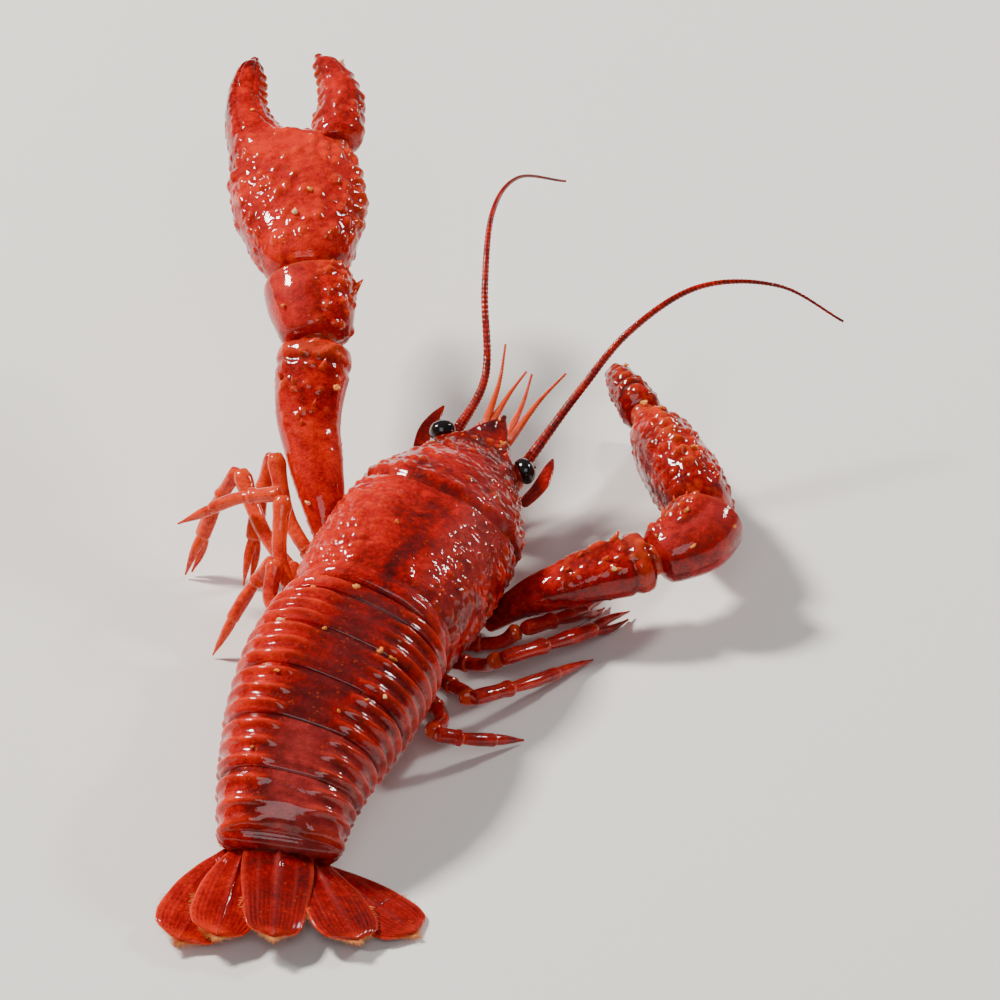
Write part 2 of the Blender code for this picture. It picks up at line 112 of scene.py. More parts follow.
def smooth_step(x: float, low: float, high: float) -> float:
    """Eases from 0 at low to 1 at high.

    Args:
        x: Where to read the curve.
        low: Where it leaves 0.
        high: Where it reaches 1.

    Returns:
        The eased share.
    """
    t = min(1.0, max(0.0, (x - low) / (high - low)))
    return t * t * (3 - 2 * t)


def hump(x: float, middle: float, spread: float) -> float:
    """A soft hump.

    Args:
        x: Where to read it.
        middle: Where it is 1.
        spread: How far from there it falls to about a third.

    Returns:
        The height, from 0 to 1.
    """
    return math.exp(-((x - middle) / spread) ** 2)


def profile(table: Table, at: float) -> float:
    """Reads a smooth curve through (station, value) pairs.

    Args:
        table: The pairs, in order.
        at: The station to read.

    Returns:
        The value there.
    """
    if at <= table[0][0]:
        return table[0][1]
    if at >= table[-1][0]:
        return table[-1][1]
    k = max(i for i in range(len(table) - 1) if table[i][0] <= at)
    (x0, y0), (x1, y1) = table[k], table[k + 1]

    def slope(i: int) -> float:
        """The curve's slope at one of its pairs."""
        if i in (0, len(table) - 1):
            return 0.0 if i else (table[1][1] - table[0][1]) / (table[1][0] - table[0][0])
        before = (table[i][1] - table[i - 1][1]) / (table[i][0] - table[i - 1][0])
        after = (table[i + 1][1] - table[i][1]) / (table[i + 1][0] - table[i][0])
        return 0.0 if before * after <= 0 else 2 * before * after / (before + after)

    step = x1 - x0
    t = (at - x0) / step
    m0, m1 = slope(k) * step, slope(k + 1) * step
    return ((2 * t**3 - 3 * t**2 + 1) * y0 + (t**3 - 2 * t**2 + t) * m0
            + (3 * t**2 - 2 * t**3) * y1 + (t**3 - t**2) * m1)


def along_path(points: Sequence[Vector], t: float) -> Vector:
    """Reads a smooth path through points.

    Args:
        points: The points that it passes.
        t: The share of the path, from 0 to 1.

    Returns:
        The point there.
    """
    spans = len(points) - 1
    k = min(int(t * spans), spans - 1)
    u = t * spans - k
    p1, p2 = points[k], points[k + 1]
    p0 = points[k - 1] if k else 2 * p1 - p2
    p3 = points[k + 2] if k + 2 < len(points) else 2 * p2 - p1
    return 0.5 * (2 * p1 + (p2 - p0) * u + (2 * p0 - 5 * p1 + 4 * p2 - p3) * u**2
                  + (3 * p1 - p0 - 3 * p2 + p3) * u**3)


def about(pivot: Vector, turn: Matrix) -> Matrix:
    """A turn about a point.

    Args:
        pivot: The point that stays.
        turn: The turn about the origin.

    Returns:
        The whole movement.
    """
    return Matrix.Translation(pivot) @ turn @ Matrix.Translation(-pivot)


def millimetres(points: Sequence[Sequence[float]]) -> list[Vector]:
    """Points in millimetres, made metres."""
    return [Vector(p) * MM for p in points]


# ---------------------------------------------------------------- scattered relief

def chance(place: Vector) -> float:
    """A steady random number from 0 to 1 for a place."""
    return (math.sin(place.x * 12.99 + place.y * 78.23 + place.z * 37.72) * 43758.55) % 1.0


def beads(point: Vector, spacing: float, radius: float, keep: float = 1.0) -> float:
    """A field of round beads scattered through space.

    Args:
        point: Where to read it, in any unit.
        spacing: The usual distance between beads, in the same unit.
        radius: A large bead's radius in that unit.
        keep: The share of the beads that are there at all.

    Returns:
        The height of the bead there, from 0 to 1.
    """
    distances, places = noise.voronoi(point / spacing)
    luck = chance(places[0])
    if luck > keep:
        return 0.0
    reach = radius / spacing * (0.65 + 0.35 * luck / keep)
    return max(0.0, 1 - (distances[0] / reach) ** 2) ** 1.5


def waves(point: Vector, size: float) -> float:
    """Slow unevenness from about -1 to 1, whose swells are size apart."""
    return noise.noise(point / size)


# ---------------------------------------------------------------- sections and skins

@dataclass(frozen=True)
class Section:
    """One rounded cross-section of a skin."""

    centre: Vector
    side: Vector
    up: Vector
    half_width: float
    above: float
    below: float
    power: float = 2.2

    def point(self, angle: float, scale: float = 1.0) -> Vector:
        """A point of the section.

        Args:
            angle: The angle round it, from the side towards up.
            scale: 1 on the skin, 0 at the centre.

        Returns:
            The point.
        """
        c, s = math.cos(angle), math.sin(angle)
        height = self.above if s > 0 else self.below
        return (self.centre + self.side
                * (scale * self.half_width * math.copysign(abs(c) ** (2 / self.power), c))
                + self.up * (scale * height * math.copysign(abs(s) ** (2 / self.power), s)))


class Skin:
    """A closed skin wrapped round a run of cross-sections."""

    # warm: the red's warmth, which in places also holds painted light and painted shade; pale: a painted
    # sheen; tip: bead crests, and painted highlights on the tail's ridges.
    TINTS = ("warm", "pale", "tip")
    CAP_ROWS = 4

    def __init__(self, surface: Surface, rings: int, segments: int,
                 dome: tuple[float, float] = (0.0, 0.0)) -> None:
        """Wraps a grid round the surface and closes both of its ends.

        Args:
            surface: The point for a share of the length, an angle and a scale.
            rings: Rows of faces along it.
            segments: Faces round it.
            dome: How far each end is rounded out, in metres.
        """
        self.mesh = bmesh.new()
        self.along = self.mesh.verts.layers.float.new("along")
        self.around = self.mesh.verts.layers.float.new("around")
        for tint in self.TINTS:
            self.mesh.verts.layers.float.new(tint)
        rows = rings + 2 * self.CAP_ROWS
        bmesh.ops.create_grid(self.mesh, x_segments=segments, y_segments=rows, size=1.0)
        start, near, late, end = (surface(t, 0.0, 0.0) for t in (0.0, 0.02, 0.98, 1.0))
        outward = ((start - near).normalized(), (end - late).normalized())
        for vert in self.mesh.verts:
            angle = math.pi * (vert.co.x + 0.5)
            row = round((vert.co.y + 1) / 2 * rows) - self.CAP_ROWS
            share = min(1.0, max(0.0, row / rings))
            turned = max(0, -row, row - rings) / self.CAP_ROWS * math.pi / 2
            which = 0 if row < 0 else 1
            vert[self.along], vert[self.around] = share, angle
            vert.co = (surface(share, angle, math.cos(turned)) + outward[which]
                       * (math.sin(turned) * dome[which]))
        bmesh.ops.remove_doubles(self.mesh, verts=self.mesh.verts, dist=0.001 * MM)
        bmesh.ops.recalc_face_normals(self.mesh, faces=self.mesh.faces)
        self.mesh.normal_update()

    def work(self, touch: Touch) -> "Skin":
        """Gives each point its relief and tints.

        Args:
            touch: Gives (height in metres, warm, pale, tip) for a share, an angle and a point.

        Returns:
            The skin itself.
        """
        tints = [self.mesh.verts.layers.float[name] for name in self.TINTS]
        for vert in self.mesh.verts:
            height, *values = touch(vert[self.along], vert[self.around], vert.co)
            for layer, value in zip(tints, values):
                vert[layer] = min(1.0, max(0.0, value))
            vert.co += vert.normal * height
        return self


class Part:
    """One finished piece, made of one or more skins."""

    def __init__(self, name: str, slot: Slot, nodes: Sequence[str] = ()) -> None:
        """Starts an empty piece.

        Args:
            name: The piece's name.
            slot: The record's finish named for it; kept on the piece but not used.
            nodes: The CAD nodes that it stands for.
        """
        self.name = name
        self.slot = slot
        self.nodes = tuple(nodes)
        self.mesh = bmesh.new()
        for tint in Skin.TINTS:
            self.mesh.verts.layers.float.new(tint)

    def add(self, skin: Skin) -> "Part":
        """Takes in a skin, which is used up.

        Args:
            skin: The skin, whose own mesh is freed.

        Returns:
            This same part.
        """
        carried = bpy.data.meshes.new("carried")
        skin.mesh.to_mesh(carried)
        skin.mesh.free()
        self.mesh.from_mesh(carried)
        bpy.data.meshes.remove(carried)
        return self

    def thorn(self, root: Vector, direction: Vector, length: float, radius: float,
              warm: float = 0.8, tip: float = 0.6) -> None:
        """Sets a small pointed thorn on the piece.

        Args:
            root: The middle of its foot.
            direction: Where it points.
            length: Its length in metres.
            radius: Its foot's radius in metres.
            warm: Its warm tint.
            tip: Its crest tint.
        """
        turn = Vector((0, 0, 1)).rotation_difference(direction).to_matrix().to_4x4()
        place = Matrix.Translation(root + direction.normalized() * length * 0.35) @ turn
        made = bmesh.ops.create_cone(self.mesh, cap_ends=True, segments=8, radius1=radius,
                                     radius2=radius * 0.12, depth=length, matrix=place)["verts"]
        layers = self.mesh.verts.layers.float
        for vert in made:
            vert[layers["warm"]], vert[layers["tip"]] = warm, tip

    def settle(self, material: bpy.types.Material) -> bpy.types.Object:
        """Makes the object, lets it ride on the body and hides the nodes that it stands for.

        Args:
            material: The piece's finish.

        Returns:
            The object.
        """
        for vert in self.mesh.verts:
            vert.co.z = max(vert.co.z, TABLE_TOP)
        data = bpy.data.meshes.new(self.name)
        self.mesh.to_mesh(data)
        self.mesh.free()
        data.shade_smooth()
        data.materials.append(material)
        piece = bpy.data.objects.new(self.name, data)
        bpy.context.scene.collection.objects.link(piece)
        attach(piece, "root")
        if self.nodes:
            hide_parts(*self.nodes)
        LOG.info("%s: %d faces", self.name, len(data.polygons))
        return piece


@dataclass
class Limb:
    """A tapering limb along a smooth path, or a stretch of it."""

    points: Sequence[Vector]
    radii: Table
    flatten: float = 1.0
    power: float = 2.2
    first: float = 0.0
    last: float = 1.0
    known: dict[float, Section] = field(default_factory=dict)

    def section(self, t: float) -> Section:
        """The cross-section at a share of this stretch, with the radii read over the stretch.

        Args:
            t: The share of its length, from 0 to 1.

        Returns:
            The cross-section.
        """
        if t not in self.known:
            at = self.first + (self.last - self.first) * t
            here = along_path(self.points, at)
            ahead = along_path(self.points, min(1, at + 0.02))
            behind = along_path(self.points, max(0, at - 0.02))
            heading = (ahead - behind).normalized()
            side = heading.cross(Vector((0, 0, 1))).normalized()
            radius = profile(self.radii, t)
            self.known[t] = Section(here, side, side.cross(heading), radius, radius * self.flatten,
                                    radius * self.flatten, self.power)
        return self.known[t]

    def surface(self, t: float, angle: float, scale: float) -> Vector:
        """A point of the limb's skin, for a share, an angle and a scale."""
        return self.section(t).point(angle, scale)

    def skin(self, rings: int, segments: int, touch: Touch, dome: tuple[float, float] = (0.0, 0.0)) -> Skin:
        """Wraps the limb.

        Args:
            rings: Rows of faces along it.
            segments: Faces round it.
            touch: Its relief and tints.
            dome: How far each end is rounded out.

        Returns:
            The worked skin.
        """
        return Skin(self.surface, rings, segments, dome).work(touch)


def scaled(radii: Table, girth: float = 1.0) -> list[tuple[float, float]]:
    """A table of radii in millimetres, made metres and fattened by girth."""
    return [(t, r * girth * MM) for t, r in radii]


# ---------------------------------------------------------------- finishes

class NodeBook:
    """The nodes of one material, written from input to output."""

    def __init__(self, name: str) -> None:
        """Starts a material with just its shader and output.

        Args:
            name: Its name.
        """
        self.material = bpy.data.materials.new(name)
        self.material.use_nodes = True
        self.tree = self.material.node_tree
        self.shader = self.tree.nodes["Principled BSDF"]
        self.place = self.tree.nodes.new("ShaderNodeTexCoord").outputs["Object"]

    def join(self, source: object, target: bpy.types.NodeSocket) -> None:
        """Links a socket, or sets a plain value, on an input.

        Args:
            source: A socket or a plain value.
            target: The input that takes it.
        """
        if isinstance(source, bpy.types.NodeSocket):
            self.tree.links.new(source, target)
        else:
            target.default_value = source

    def tint(self, name: str) -> bpy.types.NodeSocket:
        """One of the skin's own tints.

        Args:
            name: Its name.

        Returns:
            The tint.
        """
        node = self.tree.nodes.new("ShaderNodeAttribute")
        node.attribute_name = name
        return node.outputs["Fac"]

    def math(self, operation: str, a: object, b: object = 0.0, clamp: bool = False) -> bpy.types.NodeSocket:
        """A sum or other operation on two numbers.

        Args:
            operation: The operation's name in Blender.
            a: The first number, or its socket.
            b: The second.
            clamp: Whether the result is held between 0 and 1.

        Returns:
            The result.
        """
        node = self.tree.nodes.new("ShaderNodeMath")
        node.operation, node.use_clamp = operation, clamp
        self.join(a, node.inputs[0])
        self.join(b, node.inputs[1])
        return node.outputs[0]

    def noise(self, scale: float, detail: float = 3.0, rough: float = 0.55,
              distortion: float = 0.0) -> bpy.types.NodeSocket:
        """Cloudy noise from 0 to 1, at scale swells a metre.

        Args:
            scale: How many swells or points there are in a metre.
            detail: How many finer layers it has.
            rough: How strong the finer layers are.
            distortion: How far it is twisted.

        Returns:
            The noise.
        """
        node = self.tree.nodes.new("ShaderNodeTexNoise")
        self.join(self.place, node.inputs["Vector"])
        for socket, value in (("Scale", scale), ("Detail", detail), ("Roughness", rough),
                              ("Distortion", distortion)):
            node.inputs[socket].default_value = value
        return node.outputs["Fac"]

    def cells(self, scale: float) -> bpy.types.NodeSocket:
        """The distance to scattered points, scale of them a metre.

        Args:
            scale: How many swells or points there are in a metre.

        Returns:
            The distance.
        """
        node = self.tree.nodes.new("ShaderNodeTexVoronoi")
        self.join(self.place, node.inputs["Vector"])
        node.inputs["Scale"].default_value = scale
        return node.outputs["Distance"]

    def range(self, source: object, low: float, high: float, to_low: float,
              to_high: float) -> bpy.types.NodeSocket:
        """Carries numbers from one range to another, and holds them there.

        Args:
            source: A socket or a plain value.
            low: The start of the range read.
            high: Its end.
            to_low: What the start becomes.
            to_high: What the end becomes.

        Returns:
            The carried number.
        """
        node = self.tree.nodes.new("ShaderNodeMapRange")
        self.join(source, node.inputs["Value"])
        for socket, value in (("From Min", low), ("From Max", high), ("To Min", to_low), ("To Max", to_high)):
            node.inputs[socket].default_value = value
        return node.outputs["Result"]

    def mix(self, share: object, a: object, b: object) -> bpy.types.NodeSocket:
        """Mixes two colours by a share.

        Args:
            share: How far to go from the first to the second.
            a: The first colour, or its socket.
            b: The second.

        Returns:
            The mixed colour.
        """
        node = self.tree.nodes.new("ShaderNodeMix")
        node.data_type = "RGBA"
        self.join(share, node.inputs["Factor"])
        self.join((*a, 1) if isinstance(a, tuple) else a, node.inputs["A"])
        self.join((*b, 1) if isinstance(b, tuple) else b, node.inputs["B"])
        return node.outputs["Result"]

    def ramp(self, share: object, stops: Sequence[tuple[float, Colour]]) -> bpy.types.NodeSocket:
        """A run of colours along a number from 0 to 1.

        Args:
            share: How far along, from 0 to 1.
            stops: Places from 0 to 1, each with its colour.

        Returns:
            The colour.
        """
        node = self.tree.nodes.new("ShaderNodeValToRGB")
        ramp = node.color_ramp
        while len(ramp.elements) < len(stops):
            ramp.elements.new(1.0)
        for element, (at, colour) in zip(ramp.elements, stops):
            element.position, element.color = at, (*colour, 1)
        self.join(share, node.inputs["Fac"])
        return node.outputs["Color"]

    def bump(self, height: object, strength: float, distance: float) -> bpy.types.NodeSocket:
        """Fine relief in the light only, of a depth in metres.

        Args:
            height: The relief, from 0 to 1.
            strength: How much of it shows.
            distance: The depth of a height of 1.

        Returns:
            The shading normal.
        """
        node = self.tree.nodes.new("ShaderNodeBump")
        node.inputs["Strength"].default_value = strength
        node.inputs["Distance"].default_value = distance
        self.join(height, node.inputs["Height"])
        return node.outputs["Normal"]

    def set(self, **values: object) -> None:
        """Sets the shader's inputs, whose names are written with _ for a space."""
        for name, value in values.items():
            self.join(value, self.shader.inputs[name.replace("_", " ")])


@dataclass(frozen=True)
class ShellFinish:
    """Boiled shell: mottled red, wet with cooking liquor, its beads paler on their crests, with a painted
    sheen (a pale mauve standing for reflections of the lights) mixed in.
    """

    name: str
    deep: Colour = (0.045, 0.0004, 0.0008)
    crimson: Colour = (0.17, 0.0005, 0.0008)
    scarlet: Colour = (0.39, 0.0016, 0.0005)
    orange: Colour = (0.64, 0.013, 0.0005)
    # The painted sheen's colour: a pale mauve painted where reflections of the lights fall.
    sheen_colour: Colour = (0.48, 0.040, 0.036)
    crest: Colour = (0.68, 0.075, 0.010)
    mottle: float = 0.34
    roughness: tuple[float, float] = (0.36, 0.58)
    coat: float = 0.85
    pores: float = 0.5

    def make(self) -> bpy.types.Material:
        """Writes the material.

        Returns:
            The material.
        """
        book = NodeBook(self.name)
        clouds = book.range(book.noise(330, 5, 0.6, 0.4), 0.3, 0.7, -self.mottle, self.mottle)
        speck = book.range(book.noise(1900, 4, 0.7), 0.35, 0.65, -0.16, 0.16)
        # The warm tint is mostly the shell's own tone. In places it also holds painted light on the lit left
        # side and painted shade in grooves.
        warm = book.math("ADD", book.math("ADD", book.tint("warm"), clouds), speck, clamp=True)
        colour = book.ramp(warm,
                           [(0.0, self.deep), (0.3, self.crimson), (0.62, self.scarlet), (1.0, self.orange)])
        veil = book.range(book.noise(620, 3, 0.6), 0.35, 0.65, 0.45, 1.0)
        # Painted sheen: the pale tint mixes in a pale mauve that stands for reflections of the lights, broken
        # up by the veil noise.
        colour = book.mix(book.math("MULTIPLY", book.tint("pale"), veil), colour, self.sheen_colour)
        dots = book.range(book.cells(1500), 0.0, 0.32, 1.0, 0.0)
        dots = book.math("MULTIPLY", dots, book.range(book.noise(500, 2), 0.45, 0.6, 0.0, 0.42))
        colour = book.mix(dots, colour, self.crest)
        # The tip tint gives the bead crests their own paler orange. On the tail's ridges it is a painted
        # highlight.
        colour = book.mix(book.math("MULTIPLY", book.tint("tip"), 0.75), colour, self.crest)
        pits = book.range(book.cells(2300), 0.0, 0.4, 0.0, 1.0)
        grain = book.noise(4200, 3, 0.6)
        fine = book.math("ADD", book.math("MULTIPLY", pits, self.pores), grain)
        low, high = self.roughness
        book.set(
            Base_Color=colour,
            Roughness=book.range(book.noise(900, 3, 0.6), 0.3, 0.7, low, high),
            Normal=book.bump(fine, 0.75, 0.11 * MM),
            Coat_Normal=book.bump(book.noise(1700, 2), 0.25, 0.08 * MM),
            Coat_Weight=self.coat,
            Coat_Roughness=0.045,
            Coat_IOR=1.4,
            Specular_IOR_Level=0.05,
            Subsurface_Weight=0.10,
            Subsurface_Radius=(1.0, 0.18, 0.08),
            Subsurface_Scale=0.5 * MM,
            IOR=1.42,
        )
        return book.material


@dataclass(frozen=True)
class PlainFinish:
    """A small part's finish: one mottled colour."""

    name: str
    light: Colour
    dark: Colour
    scale: float = 900.0
    roughness: float = 0.4
    coat: float = 0.4
    see_through: float = 0.15

    def make(self) -> bpy.types.Material:
        """Writes the material.

        Returns:
            The material.
        """
        book = NodeBook(self.name)
        clouds = book.range(book.noise(self.scale, 4, 0.6), 0.3, 0.7, 0.0, 1.0)
        book.set(
            Base_Color=book.mix(clouds, self.dark, self.light),
            Roughness=self.roughness,
            Normal=book.bump(book.noise(self.scale * 3, 3), 0.35, 0.06 * MM),
            Coat_Weight=self.coat,
            Coat_Roughness=0.08,
            Specular_IOR_Level=0.15,
            Subsurface_Weight=self.see_through,
            Subsurface_Radius=(1.0, 0.35, 0.12),
            Subsurface_Scale=0.5 * MM,
        )
        return book.material


# ---------------------------------------------------------------- the trunk's place

@dataclass
class Lie:
    """How the trunk lies, and where the solids put the origin."""

    top: Table = ((0, 19.6), (6, 21.4), (14, 22.3), (24, 21.9), (31, 21.0), (38, 19.2), (43, 17.7),
                  (47, 17.0), (52, 16.9))
    width: Table = ((0, 0.83), (4, 0.93), (10, 0.99), (16, 1.0), (22, 0.97), (28, 0.89), (34, 0.76),
                    (39, 0.60), (42, 0.47), (43.6, 0.35), (46, 0.27), (49, 0.15), (51, 0.07), (52, 0.03))
    bottom: Table = ((0, 7.0), (4, 4.5), (30, 4.5), (36, 6.4), (40, 9.2), (42, 12.0), (43.6, 14.6),
                     (48, 15.6), (52, 16.4))
    stations: Sequence[float] = (0, 1.5, 4, 7, 10, 13, 16, 19, 21.5, 22.8, 23.6, 24.4, 26, 28.5, 31, 33.5,
                                 36, 38.5, 40.5, 42, 43.6, 45.5, 47.5, 49.5, 51, 52)
    half_width: float = 12.6 * T
    widest_at: float = 0.42
    groove_at: float = 23.6
    solid_groove: float = 0.6 * T
    body: Matrix = field(default_factory=lambda: Matrix.Identity(4))

    def __post_init__(self) -> None:
        """Works out the lie, then moves it to where the carapace's solid is."""
        lean = about(LEAN_PIVOT, Matrix.Rotation(BODY_LEAN, 4, "Y"))
        pitch = about(PITCH_PIVOT, Matrix.Rotation(-BODY_PITCH, 4, "X"))
        self.body = Matrix.Translation(TRUNK_PLACE) @ Matrix.Rotation(-BODY_YAW, 4, "Z") @ pitch @ lean
        points = [self.on_carapace(y, 2 * math.pi * k / 28, 1.0,
                                   self.solid_groove if y == self.groove_at else 0.0)
                  for y in self.stations for k in range(28)]
        low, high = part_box("carapace")
        middle = [(min(p[k] for p in points) + max(p[k] for p in points)) / 2 for k in range(2)]
        shift = Vector(((low.x + high.x) / 2 - middle[0], (low.y + high.y) / 2 - middle[1],
                        high.z - max(p.z for p in points)))
        self.shift = Matrix.Translation(shift)
        self.body = self.shift @ self.body

    def on_carapace(self, y: float, angle: float, scale: float = 1.0, inset: float = 0.0) -> Vector:
        """A point of the carapace.

        Args:
            y: The station along it, in the trunk's units.
            angle: The angle round it.
            scale: 1 on the skin, 0 at the centre.
            inset: How far the skin is drawn in, in metres.

        Returns:
            The point as the trunk lies.
        """
        top, bottom = profile(self.top, y) * T, profile(self.bottom, y) * T
        middle = bottom + self.widest_at * (top - bottom)
        section = Section(Vector((0, y * T, middle)), Vector((1, 0, 0)), Vector((0, 0, 1)),
                          profile(self.width, y) * self.half_width - inset, top - middle - inset,
                          middle - bottom, 2.3)
        reach = 5 * math.sin(math.pi * (y - 8) / 34) ** 2 if 8 < y < 42 else 0.0
        sweep = reach * (1 - max(0.0, math.sin(angle))) * T
        return self.body @ (section.point(angle, scale) + Vector((0, sweep, 0)))

    def upright(self, points: Sequence[Sequence[float]], side: Side) -> list[Vector]:
        """Points of the upright trunk, in millimetres for the right side, as that side lies."""
        return [self.body @ (Vector((x * side.sign, y, z)) * MM) for x, y, z in points]

    def on_head(self, points: Sequence[Sequence[float]], side: Side) -> list[Vector]:
        """Points of the upright head, in the trunk's units for the right side, as that side lies."""
        return self.upright([Vector(p) * T / MM for p in points], side)

    def lying(self, points: Sequence[Sequence[float]]) -> list[Vector]:
        """Points in millimetres of the frame that the limbs were laid out in."""
        return [self.shift @ p for p in millimetres(points)]


# ---------------------------------------------------------------- trunk

@dataclass
class Carapace:
    """The shield over head and thorax, with its grooves, beads, thorns and rostrum."""

    lie: Lie
    rings: int = 230
    segments: int = 208
    groove_depth: float = 0.62 * MM
    bead_height: float = 0.30 * MM
    thorn_length: float = 1.3 * MM
    place: dict[float, float] = field(default_factory=dict)

    def surface(self, t: float, angle: float, scale: float) -> Vector:
        """A point of the skin, for a share, an angle and a scale."""
        return self.lie.on_carapace(52 * t, angle, scale)

    def sideways(self, y: float, angle: float) -> float:
        """How far a point is from the middle line, in the trunk's units, with its sign."""
        c = math.cos(angle)
        return profile(self.lie.width, y) * 12.6 * math.copysign(abs(c) ** (2 / 2.3), c)

    def furrows(self, y: float, x: float, s: float) -> float:
        """The grooves, rims and ridges.

        Args:
            y: The station.
            x: The distance from the middle line, with its sign.
            s: The sine of the angle, 1 on the back.

        Returns:
            The height in metres.
        """
        height = -self.groove_depth * hump(y, self.lie.groove_at, 0.8) * smooth_step(s, -0.75, -0.2)
        height += 0.16 * MM * hump(y, self.lie.groove_at + 1.9, 1.0) * smooth_step(s, -0.5, 0.1)
        behind = smooth_step(y, 2.2, 5) * (1 - smooth_step(y, 20, 22.6))
        course = 1.35 + 1.9 * ((y - 13) / 10) ** 2
        height -= 0.20 * MM * behind * hump(abs(x), course, 0.42) * smooth_step(s, 0.2, 0.6)
        height += 0.22 * MM * hump(y, 0.9, 0.7) - 0.26 * MM * hump(y, 2.5, 0.6)
        height -= 0.16 * MM * hump(abs(x), 5.2 - 0.02 * y, 0.5) * hump(y, 31, 4.0) * max(0.0, s)
        height += (0.42 * MM * hump(abs(x), 4.4 - 0.12 * (y - 38), 0.55) * hump(y, 39.3, 2.3)
                   * smooth_step(s, 0.1, 0.5))
        beak = smooth_step(y, 39.5, 43.5) * (1 - smooth_step(y, 49, 51.5))
        rim = profile(self.lie.width, y) * 12.6 * 0.72
        height += (beak * smooth_step(s, 0.0, 0.4)
                   * (0.30 * hump(abs(x), rim, 0.5) - 0.34 * hump(x, 0, 0.9)) * MM)
        height += 0.18 * MM * hump(s, -0.72, 0.10) * smooth_step(y, 2, 6) * (1 - smooth_step(y, 34, 40))
        return height

    def touch(self, t: float, angle: float, point: Vector) -> tuple[float, float, float, float]:
        """The relief and tints of one point.

        Args:
            t: Its share of the length.
            angle: Its angle.
            point: Where it is.

        Returns:
            The height in metres, then the warm, pale and tip tints.
        """
        y, s = 52 * t, math.sin(angle)
        x = self.sideways(y, angle)
        at = point / MM
        flank = smooth_step(abs(x), 2.2, 6.5)
        head = smooth_step(y, 25, 27)
        field_size = 1.0 + 0.2 * head
        bead = beads(at, field_size, field_size * 0.70, 0.92) * (0.25 + 0.75 * flank)
        crisp = beads(at + Vector((9, 4, 2)), 2.0, 0.85, 0.6) * head * smooth_step(s, -0.4, 0.1)
        pits = beads(at + Vector((3, 7, 5)), 0.85, 0.40, 0.7) * (1 - flank) * smooth_step(s, 0.3, 0.7)
        away = 1 - hump(y, self.lie.groove_at, 0.9)
        fade = smooth_step(y, 1.6, 3.2) * (1 - smooth_step(y, 48.5, 51.5)) * away
        height = self.furrows(y, x, s)
        height += (self.bead_height * bead + 0.34 * MM * crisp - 0.12 * MM * pits) * fade
        height += 0.16 * MM * waves(at, 6.0) + 0.06 * MM * waves(at, 2.1)
        # Painted light: the hind part of the left flank, which faces the key light, is made warmer.
        lit_left_hind = smooth_step(-x, 3, 9) * (1 - smooth_step(y, 18, 30))
        # Painted highlight: a band along the right top gets painted sheen and a little less warmth.
        right_top_sheen = smooth_step(x, 1.5, 5) * (1 - smooth_step(x, 9, 12.5)) * smooth_step(s, 0.0, 0.5)
        warm = 0.44 + 0.34 * lit_left_hind - 0.15 * right_top_sheen - 0.26 * smooth_step(y, 34, 42)
        # The 0.30 term is painted shade that darkens the cervical groove.
        warm += 0.10 * hump(x, -1.0, 3.5) * hump(y, 30, 8) - 0.30 * (1 - away) + 0.22 * hump(s, -0.8, 0.25)
        warm -= 0.22 * hump(x, 0, 1.9) * (1 - smooth_step(y, 14, 24))
        # Painted sheen on the right top band and, faintly, on all upper faces.
        pale = 0.56 * right_top_sheen * (0.4 + 0.6 * hump(y, 20, 15)) + 0.08 * smooth_step(s, 0.2, 1.0)
        return height, warm + 0.20 * bead, pale * (1 - 0.5 * bead), 0.30 * bead * flank + 0.75 * crisp

    def build(self) -> Part:
        """Models the shield and sets its thorns.

        Returns:
            The unfinished piece.
        """
        part = Part("carapace_shell", Slot.SHELL, ["carapace"])
        part.add(Skin(self.surface, self.rings, self.segments, (0.4 * MM, 0.6 * MM)).work(self.touch))
        for side in Side:
            for y, degrees, size in ((25.6, 14, 1.0), (43.0, 52, 0.9), (37.5, 20, 0.7), (35.0, 4, 0.6),
                                     (47.6, 30, 0.75)):
                angle = math.radians(degrees if side is Side.RIGHT else 180 - degrees)
                here = self.surface(y / 52, angle, 1.0)
                out = (here - self.surface(y / 52, angle, 0.5)).normalized()
                ahead = (self.surface((y + 1) / 52, angle, 1.0) - here).normalized()
                part.thorn(here, (out + ahead * 1.7).normalized(), self.thorn_length * size, 0.42 * MM * size)
        return part


